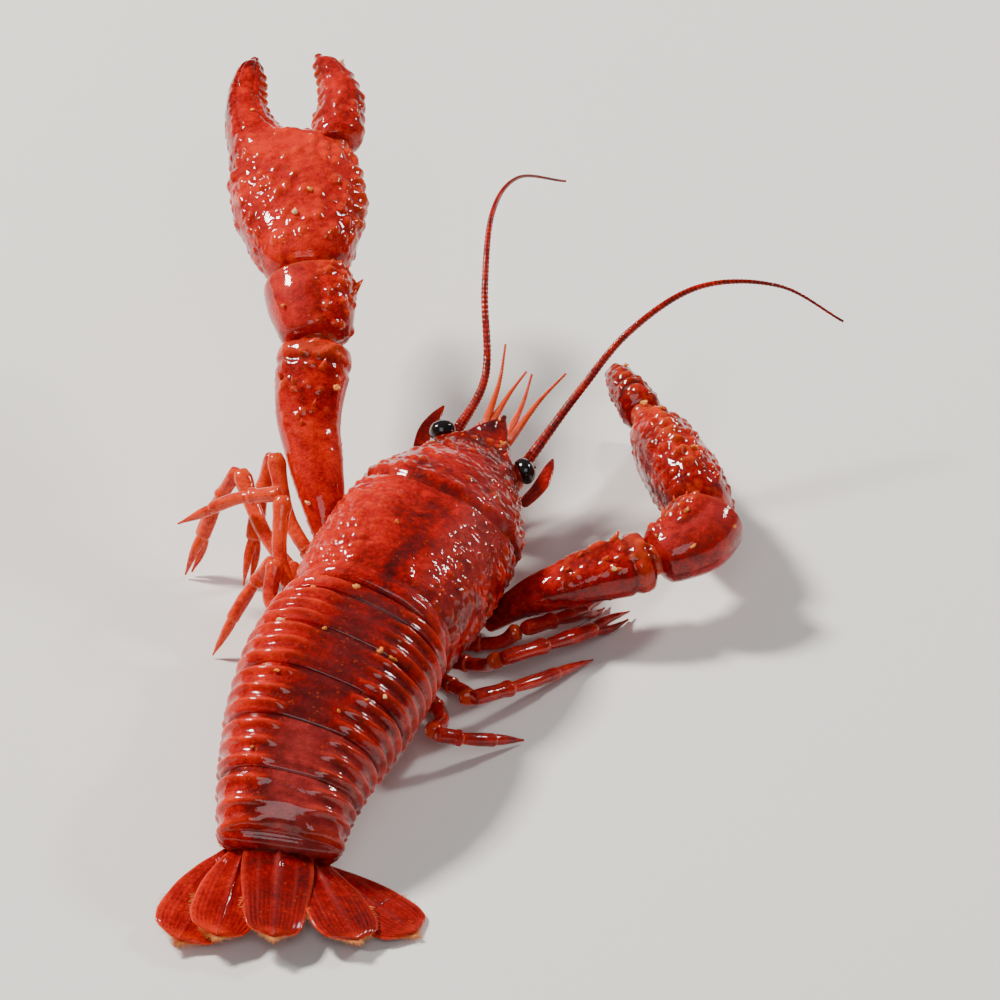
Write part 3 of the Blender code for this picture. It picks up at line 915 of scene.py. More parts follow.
@dataclass
class Underside:
    """The floor of the thorax, with a plate for each pair of legs."""

    lie: Lie
    width: Table = ((1.5, 6.0), (8, 8.8), (24, 8.8), (32, 6.5), (37, 4.2))
    length: tuple[float, float] = (1.5, 37.0)

    def surface(self, t: float, angle: float, scale: float) -> Vector:
        """A point of the skin, for a share, an angle and a scale.

        Args:
            t: The share of its length, from 0 at the root to 1 at the end.
            angle: The angle round it, in radians.
            scale: The share of the full section.

        Returns:
            The point, in metres.
        """
        y = self.length[0] + (self.length[1] - self.length[0]) * t
        rise = 2.2 * smooth_step(y, 28, 37)
        section = Section(Vector((0, y, 2.0 + rise / 2)) * T, Vector((1, 0, 0)), Vector((0, 0, 1)),
                          profile(self.width, y) * T, (1.95 - 0.1 * rise) * T, 2.0 * T, 4.0)
        return self.lie.body @ section.point(angle, scale)

    def touch(self, t: float, angle: float, point: Vector) -> tuple[float, float, float, float]:
        """The relief and tints of one point, as for the carapace.

        Args:
            t: The share of its length, from 0 at the root to 1 at the end.
            angle: The angle round it, in radians.
            point: The point of the plain surface.

        Returns:
            The height in metres, and the warm, pale and tip tints.
        """
        y = self.length[0] + (self.length[1] - self.length[0]) * t
        seam = max(hump(y, at, 0.45) for at in (5.5, 9.5, 13.5, 17.5, 22.0, 26.5, 31.0))
        height = -(0.35 + 0.75 * abs(math.cos(angle)) ** 4) * MM * seam + 0.12 * MM * waves(point / MM, 3.0)
        return height, 0.72 - 0.3 * seam, 0.25, 0.25

    def build(self) -> Part:
        """Models the floor."""
        part = Part("thorax_floor", Slot.LIMB, ["underside"])
        return part.add(Skin(self.surface, 120, 56, (0.3 * MM, 0.3 * MM)).work(self.touch))


@dataclass
class Abdomen:
    """The six rings of the tail, which tuck under one another, and the swimmerets below."""

    lie: Lie
    lengths: Sequence[float] = (3.6, 7.3, 7.5, 7.4, 7.0, 8.2)
    droop: Table = ((0, -3), (0.3, 5), (0.6, 15), (0.8, 22), (1.0, 24), (1.4, 18))
    swing: Table = ((0, -6), (0.4, -6), (0.7, -2), (1.0, 8), (1.4, 13))
    lean: Table = ((0, 18), (0.5, 16), (1.0, 11), (1.4, 9))
    width: Table = ((0, 11.2), (0.12, 12.0), (0.3, 12.2), (0.5, 11.4), (0.7, 10.0), (0.85, 8.9), (1.0, 8.0))
    above: Table = ((0, 7.0), (0.12, 7.6), (0.4, 7.7), (0.7, 6.9), (0.9, 5.6), (1.0, 4.2))
    below: Table = ((0, 5.6), (0.12, 7.0), (0.5, 6.8), (0.75, 5.6), (0.9, 4.1), (1.0, 2.6))
    ridges: Sequence[int] = (1, 3, 3, 3, 3, 3)
    tuck: float = 1.5 * MM
    steps: int = 160
    reach: float = 1.4
    spine: list[tuple[Vector, Vector, Vector, Vector]] = field(default_factory=list)

    def __post_init__(self) -> None:
        """Lays out the centre line, from the carapace to past the fan's root."""
        here = self.lie.body @ Vector((0, 0, SPINE_HEIGHT))
        step = self.reach * self.total / self.steps
        for i in range(self.steps + 1):
            share = self.reach * i / self.steps
            down, yaw, lean = (math.radians(profile(table, share))
                               for table in (self.droop, self.swing, self.lean))
            heading = Vector((math.sin(yaw) * math.cos(down), -math.cos(yaw) * math.cos(down),
                              -math.sin(down)))
            level = Vector((math.cos(yaw), math.sin(yaw), 0))
            upright = level.cross(-heading)
            self.spine.append((here.copy(), heading, level * math.cos(lean) - upright * math.sin(lean),
                               upright * math.cos(lean) + level * math.sin(lean)))
            here += heading * step

    @property
    def total(self) -> float:
        """The rings' whole length in metres."""
        return sum(self.lengths) * T

    def spine_at(self, share: float) -> tuple[Vector, Vector, Vector, Vector]:
        """The centre line's point and axes.

        Args:
            share: The share of the rings' length, which may pass 1 a little.

        Returns:
            The point, then the headings back, sideways and up.
        """
        exact = max(0.0, share) / self.reach * self.steps
        k = min(int(exact), self.steps - 1)
        (c0, h0, s0, u0), (c1, h1, s1, u1) = self.spine[k], self.spine[k + 1]
        t = exact - k
        centre = c0.lerp(c1, t) + h0 * (min(0.0, share) * self.total)
        return centre, h0.lerp(h1, t).normalized(), s0.lerp(s1, t).normalized(), u0.lerp(u1, t).normalized()

    def ring_surface(self, number: int) -> Surface:
        """The surface of one ring.

        Args:
            number: Which, from 1 at the carapace to 6.

        Returns:
            Its surface, which starts tucked under the ring before.
        """
        start, length = sum(self.lengths[:number - 1]) * T, self.lengths[number - 1] * T
        known: dict[float, tuple[Section, Vector, float]] = {}

        def section(t: float) -> tuple[Section, Vector, float]:
            """The cross-section, the up axis and the side flap's depth at a share of the ring."""
            if t not in known:
                run = -self.tuck + t * (length + self.tuck - JOINT_GAP)
                share = (start + JOINT_GAP + run) / self.total
                own = max(0.0, run / (length - JOINT_GAP))
                centre, _, side, up = self.spine_at(share)
                swell = 0.915 + 0.085 * smooth_step(run / MM, -1.3, 0.6)
                swell *= 1 - 0.02 * smooth_step(own, 0.9, 1.0)
                sink = 1 - (0.34 * smooth_step(own, 0.72, 1.0) if number == len(self.lengths) else 0.0)
                flap = (1.7 if number > 1 else 0.4) * math.sin(math.pi * (0.06 + 0.9 * own)) * T
                known[t] = (Section(centre, side, up, profile(self.width, share) * swell * T,
                                    profile(self.above, share) * swell * sink * T,
                                    profile(self.below, share) * 0.86 * T, 2.5), up, flap)
            return known[t]

        def surface(t: float, angle: float, scale: float) -> Vector:
            """A point of the ring's skin."""
            shape, up, flap = section(t)
            corner = smooth_step(abs(math.cos(angle)), 0.5, 0.9) * smooth_step(-math.sin(angle), 0.05, 0.5)
            return shape.point(angle, scale) - up * (flap * corner * scale)

        return surface

    def ring_touch(self, number: int) -> Touch:
        """The relief and tints of one ring.

        Args:
            number: Which ring.

        Returns:
            Its touch.
        """
        length = self.lengths[number - 1] * T
        count = self.ridges[number - 1]
        smooth_back = smooth_step(number, 4, 5.5)

        def touch(t: float, angle: float, point: Vector) -> tuple[float, float, float, float]:
            """Ridges across the flanks, a raised hind rim, and beads on the side flaps."""
            own = (t * (length + self.tuck) - self.tuck) / length
            s, c = math.sin(angle), math.cos(angle)
            at = point / MM
            body = smooth_step(own, 0.02, 0.14)
            side = smooth_step(abs(c), 0.16, 0.42)
            wander = 0.05 * waves(at, 3.0)
            wave = 0.5 + 0.5 * math.cos(2 * math.pi * (count * (own + wander) - 0.5))
            ridge = wave ** 1.8 * body
            flap = smooth_step(-s, 0.12, 0.3) * smooth_step(abs(c), 0.5, 0.85)
            crease = hump(s, -0.05, 0.07) * smooth_step(abs(c), 0.8, 0.95) * body
            strength = (0.10 + 0.42 * side * (1 - 0.35 * smooth_back)) * (1 - 0.6 * flap)
            rim = hump(own, 0.965, 0.03)
            bead = beads(at, 0.85, 0.58, 0.9) * body
            fine = (beads(at + Vector((5, 1, 8)), 0.46, 0.19, 0.7) * side * (1 - flap)
                    * (1 - 0.6 * smooth_back))
            height = strength * MM * ridge - 0.20 * MM * crease + 0.10 * MM * rim
            height += (0.20 * bead * flap + 0.05 * fine) * MM * (0.3 + 0.7 * body)
            height += 0.08 * MM * waves(at, 4.5) * body
            band = hump(c, -0.02, 0.24) * max(0.0, s)
            # Painted light: the left flank, which faces the key light, is made warmer and brighter.
            left = smooth_step(-c, 0.2, 0.7)
            warm = 0.38 + 0.40 * left + 0.12 * smooth_step(c, 0.35, 0.8) - 0.32 * band
            # Painted highlight on the ridge tops and painted shade in the grooves between them (the 0.30 and
            # 0.14 terms). The front facet tucked under the ring before is darker.
            warm += (0.30 * ridge - 0.14) * side - 0.22 * (1 - body) + 0.25 * flap - 0.10 * smooth_back
            # Painted sheen on the dorsal band (strongest on the last rings), on the ridges, and on the right
            # upper flank of the last rings.
            pale = (0.16 + 0.60 * smooth_back) * band + 0.12 * ridge * side
            pale += 0.42 * smooth_back * smooth_step(c, 0.0, 0.3) * smooth_step(s, 0.1, 0.6)
            # The tip tint: the flap beads' own crests, and a painted highlight on the ridges.
            return height, warm, pale, 0.55 * bead * flap + 0.16 * ridge * side

        return touch

    def swimmeret(self, number: int, side: Side) -> Skin:
        """One swimmeret.

        Args:
            number: The ring that it hangs from.
            side: The side that it is on.

        Returns:
            Its skin.
        """
        share = (sum(self.lengths[:number - 1]) + 0.45 * self.lengths[number - 1]) * T / self.total
        centre, heading, across, up = self.spine_at(share)
        root = centre - up * profile(self.below, share) * 0.74 * T + across * side.sign * 5.2 * T
        knee = root - up * 1.4 * MM + heading * 1.2 * MM
        tip = knee + heading * 3.4 * MM - up * 0.5 * MM - across * side.sign * 1.2 * MM
        limb = Limb([root, knee, tip], scaled([(0, 0.75), (0.3, 0.6), (0.6, 0.7), (0.9, 0.45), (1, 0.15)]),
                    0.5)
        return limb.skin(18, 12, lambda t, angle, point: (0.0, 0.8 - 0.2 * t, 0.3, 0.3 * t),
                         (0.2 * MM, 0.2 * MM))

    def build(self) -> list[Part]:
        """Models the rings and the swimmerets.

        Returns:
            The unfinished pieces.
        """
        parts = []
        for number, length in enumerate(self.lengths, start=1):
            part = Part(f"tail_ring_{number}", Slot.TAIL, [f"somite_{number}"])
            rings = 22 + round(6.5 * length)
            dome = 1.0 * MM if number == len(self.lengths) else 0.25 * MM
            part.add(Skin(self.ring_surface(number), rings, 176, (0.0, dome)).work(self.ring_touch(number)))
            parts.append(part)
        swimmers = Part("swimmerets", Slot.LIMB)
        for number in range(2, 6):
            for side in Side:
                swimmers.add(self.swimmeret(number, side))
        return parts + [swimmers]


@dataclass(frozen=True)
class Blade:
    """One plate of the tail fan, in the trunk's units, degrees and millimetres."""

    node: str
    sideways: float
    below: float
    splay: float
    length: float
    half_width: float
    tip_height: float


@dataclass
class TailFan:
    """The tail fan: five ribbed plates with a fringe of stiff hairs."""

    abdomen: Abdomen
    blades: Sequence[Blade] = (
        Blade("telson", 0.0, 0.0, 3, 15.5, 4.8, 3.2),
        Blade("uropod_inner_R", 4.6, 1.3, 27, 15.5, 4.5, 2.0),
        Blade("uropod_outer_R", 6.0, 2.8, 52, 16.5, 4.9, 0.6),
        Blade("uropod_inner_L", -4.6, 1.3, -7, 15.0, 4.3, 2.7),
        Blade("uropod_outer_L", -6.0, 2.8, -19, 15.5, 4.9, 1.4),
    )
    blade_width: Table = ((0, 0.42), (0.2, 0.70), (0.5, 0.95), (0.75, 1.0), (0.9, 0.86), (1.0, 0.50))
    telson_width: Table = ((0, 0.96), (0.25, 1.0), (0.6, 0.90), (0.85, 0.80), (0.96, 0.62), (1.0, 0.40))
    hairs: int = 130
    hair_length: float = 1.35 * MM

    def axes(self, blade: Blade) -> tuple[Vector, Vector, Vector, Vector]:
        """Where a plate starts and how it lies.

        Args:
            blade: The plate.

        Returns:
            Its root, then its directions along, across and up.
        """
        centre, heading, side, up = self.abdomen.spine_at(1.0)
        clear = 0.6 * MM + abs(blade.sideways) * 0.08 * MM
        root = centre + heading * clear + side * blade.sideways * T - up * (blade.below - 0.6) * T
        level = Vector((heading.x, heading.y, 0)).normalized()
        out = Matrix.Rotation(math.radians(blade.splay), 3, "Z") @ level
        fall = (root.z - blade.tip_height * MM) / (blade.length * T)
        along = (out - Vector((0, 0, fall))).normalized()
        across = (side - along * side.dot(along)).normalized()
        if blade.node.startswith("uropod_outer"):
            flat = Vector((0, 0, 1)).cross(along).normalized() * math.copysign(1, side.x)
            across = (across + flat * (1 if blade.splay > 0 else 0.3)).normalized()
        normal = across.cross(-along).normalized()
        return root, along, (-along).cross(normal) * -1, normal

    def section(self, blade: Blade, t: float) -> Section:
        """The cross-section of a plate at a share of its length, the root's tongue included.

        Args:
            blade: The plate.
            t: The share of its length, from 0 to 1.

        Returns:
            The cross-section.
        """
        root, along, across, normal = self.axes(blade)
        widths = self.telson_width if blade.node == "telson" else self.blade_width
        reach = -0.10 + 1.10 * t
        thick = (0.62 - 0.30 * max(0.0, reach)) * MM
        rounded = math.sqrt(max(0.0, 1 - max(0.0, (reach - 0.93) / 0.075) ** 2)) if reach > 0.93 else 1.0
        half = profile(widths, max(0.0, reach)) * blade.half_width * T * max(0.25, rounded)
        if reach < 0:
            half *= 1 + 3.0 * reach
        return Section(root + along * reach * blade.length * T, across, normal, half, thick, thick * 0.7, 2.0)

    def touch(self, blade: Blade) -> Touch:
        """The relief and tints of one plate: a middle rib, fine rays and a seam across the outer plates.

        Args:
            blade: The plate.

        Returns:
            The function that gives them.
        """
        outer = blade.node.startswith("uropod_outer")
        left = blade.node.endswith("_L")

        def touch(t: float, angle: float, point: Vector) -> tuple[float, float, float, float]:
            """One point of the plate."""
            c, s = math.cos(angle), math.sin(angle)
            face = smooth_step(abs(s), 0.05, 0.4)
            rib = hump(c, 0.0, 0.085) * (1 - 0.75 * t)
            second = hump(abs(c), 0.52, 0.05) * smooth_step(t, 0.1, 0.4) * (1 - t)
            ray = (0.5 + 0.5 * math.cos(c * 46)) * smooth_step(t, 0.35, 0.75) * (1 - rib)
            seam = hump(t, 0.66 + 0.03 * c, 0.012) if outer else 0.0
            height = face * (0.34 * rib + 0.12 * second + 0.055 * ray - 0.16 * seam) * MM
            height += 0.10 * MM * waves(point / MM, 3.2) * face
            edge = smooth_step(abs(c), 0.82, 0.98) + smooth_step(t, 0.9, 1.0)
            # Painted light: the left blades, lit through from behind, are warmer. The right blades are darker
            # as painted shade.
            warm = ((0.56 if left else 0.30) + 0.30 * edge - 0.14 * rib + 0.10 * ray - 0.20
                    * (1 - smooth_step(t, 0, 0.2)))
            # Painted sheen along the ribs and rays, mostly on the right blades.
            pale = (0.18 if left else 0.55) * max(rib, 0.7 * second) + (0.04 if left else 0.20) * ray
            return height, warm, pale, 0.15 * edge

        return touch

    def plate(self, blade: Blade) -> Part:
        """Models one plate.

        Args:
            blade: The plate.

        Returns:
            The unfinished piece.
        """
        known: dict[float, Section] = {}

        def surface(t: float, angle: float, scale: float) -> Vector:
            """A point of the plate's skin."""
            if t not in known:
                known[t] = self.section(blade, t)
            return known[t].point(angle, scale)

        part = Part(f"{blade.node}_plate", Slot.TAIL_FAN, [blade.node])
        part.add(Skin(surface, 90, 128, (0.2 * MM, 0.15 * MM)).work(self.touch(blade)))
        if blade.node == "telson":
            _, along, across, _ = self.axes(blade)
            for sign in (-1, 1):
                here = self.section(blade, 0.68).point(0 if sign > 0 else math.pi)
                part.thorn(here, (along + across * sign * 0.35).normalized(), 1.1 * MM, 0.28 * MM)
        return part

    def fringe(self) -> Part:
        """Sets the stiff hairs round the hind edge of every plate.

        Returns:
            The unfinished piece.
        """
        part = Part("tail_fringe", Slot.TAIL_FAN)
        dice = random.Random(5)
        for blade in self.blades:
            _, along, across, normal = self.axes(blade)
            for k in range(self.hairs):
                turn = -1 + 2 * (k + dice.random()) / self.hairs
                t = 1.0 - 0.36 * abs(turn) ** 2.4
                section = self.section(blade, t)
                spread = math.copysign(min(1.0, abs(turn) ** 0.75), turn)
                foot = section.centre + section.side * section.half_width * spread * 0.94 - along * 0.15 * MM
                way = along * (1.25 - abs(turn)) + across * turn * 0.75 + normal * dice.uniform(-0.12, 0.08)
                length = self.hair_length * dice.uniform(0.7, 1.15) * (1.1 - 0.4 * abs(turn))
                place = Matrix.Translation(foot + way.normalized() * length * 0.45)
                place @= Vector((0, 0, 1)).rotation_difference(way).to_matrix().to_4x4()
                bmesh.ops.create_cone(part.mesh, cap_ends=True, segments=4, radius1=0.06 * MM,
                                      radius2=0.012 * MM, depth=length, matrix=place)
        return part

    def build(self) -> list[Part]:
        """Models the plates and their fringe."""
        return [self.plate(blade) for blade in self.blades] + [self.fringe()]


# ---------------------------------------------------------------- claws

@dataclass(frozen=True)
class ArmPose:
    """How one claw and its arm lie, in millimetres and degrees."""

    arm: Sequence[Sequence[float]]
    wrist: Sequence[float]
    aim: Sequence[float]
    facing: Sequence[float]
    shut: float
    girth: float
    length: float
    # The claw's warm tint. The left claw's is set higher as painted light on the lit side.
    warm: float


@dataclass
class Cheliped:
    """One claw-bearing limb: arm, wrist, palm with its fixed finger, and moving finger."""

    lie: Lie
    side: Side
    pose: ArmPose
    root: Sequence[float] = (9.9, 20.0, 4.1)
    palm: Sequence[Sequence[float]] = (
        (0, 0, 4.1, 3.3), (1.2, 0, 5.2, 4.1), (3.2, 0, 6.3, 4.7), (7.5, 0.1, 7.7, 5.2), (13, 0.3, 8.6, 5.5),
        (18, 0.7, 8.6, 5.2), (21.4, 2.0, 7.3, 4.8), (23.2, 3.9, 5.3, 4.2), (25.6, 5.1, 3.9, 3.5),
        (29, 6.0, 3.1, 2.9), (33, 6.3, 2.6, 2.4), (37, 5.9, 2.1, 1.9), (40.5, 5.1, 1.4, 1.4),
        (42, 4.6, 0.6, 0.6))
    finger: Sequence[Sequence[float]] = (
        (0, 0, 2.7, 2.7), (1.3, -0.6, 3.3, 3.2), (4.6, -1.6, 3.1, 2.9), (8.6, -2.4, 2.7, 2.5),
        (12.6, -2.3, 2.2, 2.0), (16.0, -1.4, 1.5, 1.4), (17.6, -0.8, 0.6, 0.6))
    hinge: Sequence[float] = (-5.0, 24.4, 0)
    arm_radii: Table = ((0, 1.7), (0.15, 2.1), (0.5, 3.2), (0.8, 4.1), (0.93, 4.4), (0.985, 4.1), (1.0, 3.4))
    wrist_radii: Table = ((0, 3.2), (0.05, 3.9), (0.25, 4.5), (0.6, 5.1), (0.85, 5.2), (0.95, 4.8),
                          (1.0, 4.0))
    elbow_gap: float = 0.9 * MM
    wrist_gap: float = 1.3 * MM

    @property
    def tag(self) -> str:
        """The side's letter."""
        return self.side.letter

    def claw_matrix(self) -> Matrix:
        """The claw's own frame in millimetres: +Y along it, +X outwards, +Z its upper face.

        Returns:
            The frame, as a matrix from its millimetres to the scene's metres.
        """
        along = Vector(self.pose.aim).normalized()
        out = along.cross(Vector(self.pose.facing)).normalized()
        turned = Matrix((out * self.side.sign, along, out.cross(along))).transposed().to_4x4()
        size = Matrix.Scale(self.pose.length / (self.palm[-1][0] * MM), 4)
        return Matrix.Translation(self.lie.lying([self.pose.wrist])[0]) @ turned @ size

    def finger_matrix(self) -> Matrix:
        """The moving finger's own frame, with its hinge at the origin."""
        shut = Matrix.Rotation(-math.radians(self.pose.shut), 4, "Z")
        return self.claw_matrix() @ Matrix.Translation(Vector(self.hinge) * MM) @ shut

    def claw_surface(self, rows: Sequence[Sequence[float]], place: Matrix) -> Surface:
        """The surface through rows of (along, outwards, half width, half thickness).

        Args:
            rows: The rows, in the claw's millimetres.
            place: The frame that they are in.

        Returns:
            The surface.
        """
        columns = [[(row[0], row[k]) for row in rows] for k in (1, 2, 3)]
        known: dict[float, Section] = {}

        def surface(t: float, angle: float, scale: float) -> Vector:
            """A point of the claw's skin."""
            if t not in known:
                at = rows[-1][0] * t
                out, half, thick = (profile(column, at) for column in columns)
                slope = (profile(columns[0], at + 1) - profile(columns[0], at - 1)) / 2
                turn = 0.55 * math.atan(slope)
                known[t] = Section(Vector((out, at, 0)) * MM, Vector((math.cos(turn), -math.sin(turn), 0)),
                                   Vector((0, 0, 1)), half * MM, thick * MM, thick * 0.9 * MM, 2.25)
            return place @ known[t].point(angle, scale)

        return surface

    def palm_touch(self, place: Matrix) -> Touch:
        """The palm's relief: scaly beads in slanted rows, a beaded inner edge, and teeth on the fixed finger.

        Args:
            place: The claw's own frame.

        Returns:
            Its touch.
        """
        back = place.inverted()
        reach = self.palm[-1][0]

        def touch(t: float, angle: float, point: Vector) -> tuple[float, float, float, float]:
            """One point of the palm."""
            own = (back @ point) / MM
            y, c, s = reach * t, math.cos(angle), math.sin(angle)
            finger = smooth_step(y, 22, 26)
            scale_bed = Vector((own.x, own.y * 0.72, own.z * 1.1))
            scales = beads(scale_bed, 1.6, 1.08, 0.93) * (1 - 0.72 * finger)
            small = beads(own + Vector((4, 2, 1)), 0.9, 0.52, 0.6)
            upper = 0.45 + 0.55 * smooth_step(s, -0.5, 0.1)
            inner = (smooth_step(-c, 0.5, 0.9) * hump(s, 0.30, 0.20) * (1 - smooth_step(y, 19.5, 21.5))
                     * smooth_step(y, 3, 6))
            knob = inner * (0.5 + 0.5 * math.cos(2 * math.pi * y / 2.35)) ** 1.4
            bite = (smooth_step(-c, 0.6, 0.9) * hump(s, 0.05, 0.36) * smooth_step(y, 22.5, 24.5)
                    * (1 - smooth_step(y, 39, 41)))
            tooth = bite * (0.5 + 0.5 * math.cos(2 * math.pi * y / 1.75)) ** 1.3
            seam = finger * hump(abs(c), 0.45, 0.10) * smooth_step(abs(s), 0.3, 0.7)
            ends = smooth_step(y, 0.5, 3) * (1 - smooth_step(y, 40, 42))
            height = (0.40 * scales * upper + 0.12 * small) * ends + 0.62 * knob + 0.50 * tooth - 0.14 * seam
            height += (0.20 * waves(own, 5.0) * ends - 0.30 * hump(own.x, -5.0, 2.2) * hump(y, 22.6, 1.4)
                       * abs(s))
            outer = smooth_step(c, 0.35, 0.9)
            warm = (self.pose.warm + 0.10 * s - 0.24 * outer * smooth_step(y, 14, 26) - 0.30 * finger
                    * smooth_step(y, 33, 42))
            warm += 0.16 * hump(y, 20, 5) * (1 - outer) + 0.16 * scales - 0.10 * seam
            # Painted sheen on the upper face of the palm.
            pale = 0.16 * (1 - finger) * smooth_step(s, 0.3, 1) * (1 - scales)
            tip = 0.34 * scales * upper * (1 - finger) + 0.9 * knob + 0.75 * tooth + 0.2 * small
            return height * MM, warm, pale, tip

        return touch

    def finger_touch(self, place: Matrix) -> Touch:
        """The moving finger's relief: teeth inside, beads outside and a furrow along each face.

        Args:
            place: The finger's own frame.

        Returns:
            Its touch.
        """
        back = place.inverted()
        reach = self.finger[-1][0]

        def touch(t: float, angle: float, point: Vector) -> tuple[float, float, float, float]:
            """One point of the finger."""
            own = (back @ point) / MM
            y, c, s = reach * t, math.cos(angle), math.sin(angle)
            ends = smooth_step(y, 0.5, 2) * (1 - smooth_step(y, 15.5, 17.3))
            scales = (beads(Vector((own.x, own.y * 0.72, own.z)), 1.2, 0.78, 0.85)
                      * (1 - 0.6 * smooth_step(y, 8, 14)))
            bite = smooth_step(c, 0.6, 0.9) * hump(s, 0.05, 0.36) * smooth_step(y, 1.5, 3)
            tooth = bite * (0.5 + 0.5 * math.cos(2 * math.pi * y / 1.8)) ** 1.3 * ends
            knob = (smooth_step(-c, 0.5, 0.9) * hump(s, 0.2, 0.3)
                    * (0.5 + 0.5 * math.cos(2 * math.pi * y / 2.1)) ** 1.5 * ends)
            seam = hump(abs(c), 0.42, 0.10) * smooth_step(abs(s), 0.3, 0.7) * ends
            height = 0.28 * scales * ends + 0.48 * tooth + 0.30 * knob - 0.13 * seam + 0.12 * waves(own, 3.5)
            warm = self.pose.warm - 0.02 + 0.14 * scales - 0.22 * smooth_step(y, 11, 17)
            # The pale tint here is a painted sheen on the upper face.
            return height * MM, warm, 0.10 * max(0.0, s), 0.30 * scales + 0.85 * tooth + 0.5 * knob

        return touch

    def arm_touch(self, t: float, angle: float, point: Vector) -> tuple[float, float, float, float]:
        """The arm's relief: smooth below, beads on its crest that grow towards the elbow.

        Args:
            t: The share of its length, from 0 at the root to 1 at the end.
            angle: The angle round it, in radians.
            point: The point of the plain surface.

        Returns:
            The height in metres, and the warm, pale and tip tints.
        """
        c, s = math.cos(angle), math.sin(angle)
        at = point / MM
        far = smooth_step(t, 0.35, 0.85)
        crest = smooth_step(s, 0.35, 0.85)
        bead = beads(at, 1.3, 0.85, 0.85) * crest * far
        small = beads(at + Vector((2, 2, 2)), 0.8, 0.3, 0.5) * (1 - crest)
        ring = hump(t, 0.90, 0.018)
        height = 0.42 * bead + 0.10 * small - 0.26 * ring + 0.15 * waves(at, 4.0)
        warm = self.pose.warm + 0.08 + 0.30 * (1 - crest) * smooth_step(-c * self.side.sign, -0.9, 0.3)
        warm += 0.1 * bead - 0.20 * ring
        # The pale tint here is a painted sheen just before the elbow's end.
        return (height * MM, warm - 0.05 * far, 0.15 * hump(t, 0.94, 0.05),
                0.70 * bead + 0.35 * hump(t, 0.95, 0.03))

    def wrist_touch(self, t: float, angle: float, point: Vector) -> tuple[float, float, float, float]:
        """The wrist's relief: a furrow along the top, beads inside and smooth shell outside.

        Args:
            t: The share of its length, from 0 at the root to 1 at the end.
            angle: The angle round it, in radians.
            point: The point of the plain surface.

        Returns:
            The height in metres, and the warm, pale and tip tints.
        """
        c, s = math.cos(angle), math.sin(angle)
        at = point / MM
        inner = smooth_step(-c * self.side.sign, -0.35, 0.4)
        bead = beads(at, 1.35, 0.9, 0.85) * inner * smooth_step(s, -0.5, 0.1)
        furrow = hump(c, 0.12, 0.10) * smooth_step(s, 0.5, 0.9) * hump(t, 0.5, 0.28)
        lip = hump(t, 0.93, 0.03)
        height = 0.40 * bead - 0.34 * furrow + 0.20 * lip + 0.12 * waves(at, 4.0)
        warm = self.pose.warm + 0.04 - 0.16 * furrow + 0.10 * bead
        # Painted sheen on the upper outer side of the wrist.
        pale = 0.34 * (1 - inner) * smooth_step(s, 0.1, 0.7)
        return height * MM, warm, pale, 0.65 * bead + 0.4 * lip

    def arm(self) -> list[Vector]:
        """The arm's path, from the thorax to the elbow."""
        return self.lie.upright([self.root], self.side) + self.lie.lying(self.pose.arm)

    def wrist(self) -> list[Vector]:
        """The wrist's path, from the elbow to the claw.

        Returns:
            Its points, in metres.
        """
        arm, place = self.arm(), self.claw_matrix()
        along = (place.to_3x3() @ Vector((0, 1, 0))).normalized()
        run = (arm[-1] - arm[-2]).normalized()
        elbow, end = arm[-1] + run * self.elbow_gap, place.translation - along * self.wrist_gap
        return [elbow, (elbow + end) / 2 + (run - along) * 0.9 * MM, end]

    def joint(self, name: str, ends: Sequence[Vector], radius: float) -> Part:
        """The soft skin across a joint.

        Args:
            name: The piece's name.
            ends: The points that it joins.
            radius: Its radius in millimetres.

        Returns:
            The unfinished piece.
        """
        middle = (ends[0] + ends[1]) / 2
        limb = Limb([ends[0], middle, ends[1]], scaled([(0, radius), (0.5, radius * 0.86), (1, radius)]))

        def fold(t: float, angle: float, point: Vector) -> tuple[float, float, float, float]:
            """Low folds all along the sleeve."""
            return 0.06 * MM * math.sin(26 * t), 0.9, 0.2, 0.35

        return Part(name, Slot.LIMB).add(limb.skin(24, 28, fold, (0.5 * MM, 0.5 * MM)))

    def build(self) -> tuple[list[Part], list[Part]]:
        """Models the limb.

        Returns:
            The shell pieces, then the soft joints.
        """
        girth, arm, wrist, place = self.pose.girth, self.arm(), self.wrist(), self.claw_matrix()
        upper = Part(f"arm_{self.tag}", Slot.CLAW, [f"claw_arm_{self.tag}"])
        upper.add(Limb(arm, scaled(self.arm_radii, girth), 0.82).skin(110, 72, self.arm_touch,
                                                                      (0.3 * MM, 0.3 * MM)))
        bulb = Part(f"wrist_{self.tag}", Slot.CLAW, [f"claw_wrist_{self.tag}"])
        wrist_limb = Limb(wrist, scaled(self.wrist_radii, girth), 0.86)
        bulb.add(wrist_limb.skin(110, 112, self.wrist_touch, (0.3 * MM, 0.3 * MM)))
        inner = math.pi if self.side is Side.RIGHT else 0.0
        for t, turn, size in ((0.72, 0.15, 1.9), (0.5, 0.5, 1.0), (0.9, 0.55, 0.9), (0.86, 1.1, 0.8)):
            angle = inner + turn * (-1 if self.side is Side.RIGHT else 1)
            here = wrist_limb.surface(t, angle, 1.0)
            out = (here - wrist_limb.surface(t, angle, 0.4)).normalized()
            ahead = (wrist[-1] - wrist[0]).normalized()
            bulb.thorn(here, (out + ahead * 0.9).normalized(), size * MM, 0.34 * size * MM, 0.8, 0.8)
        arm_limb = Limb(arm, scaled(self.arm_radii, girth), 0.82)
        for t, turn, size in ((0.86, 1.9, 1.5), (0.78, 1.2, 1.1), (0.68, 1.7, 0.9), (0.6, 1.3, 0.8),
                              (0.82, 0.7, 1.0)):
            angle = turn if self.side is Side.RIGHT else math.pi - turn
            here = arm_limb.surface(t, angle, 1.0)
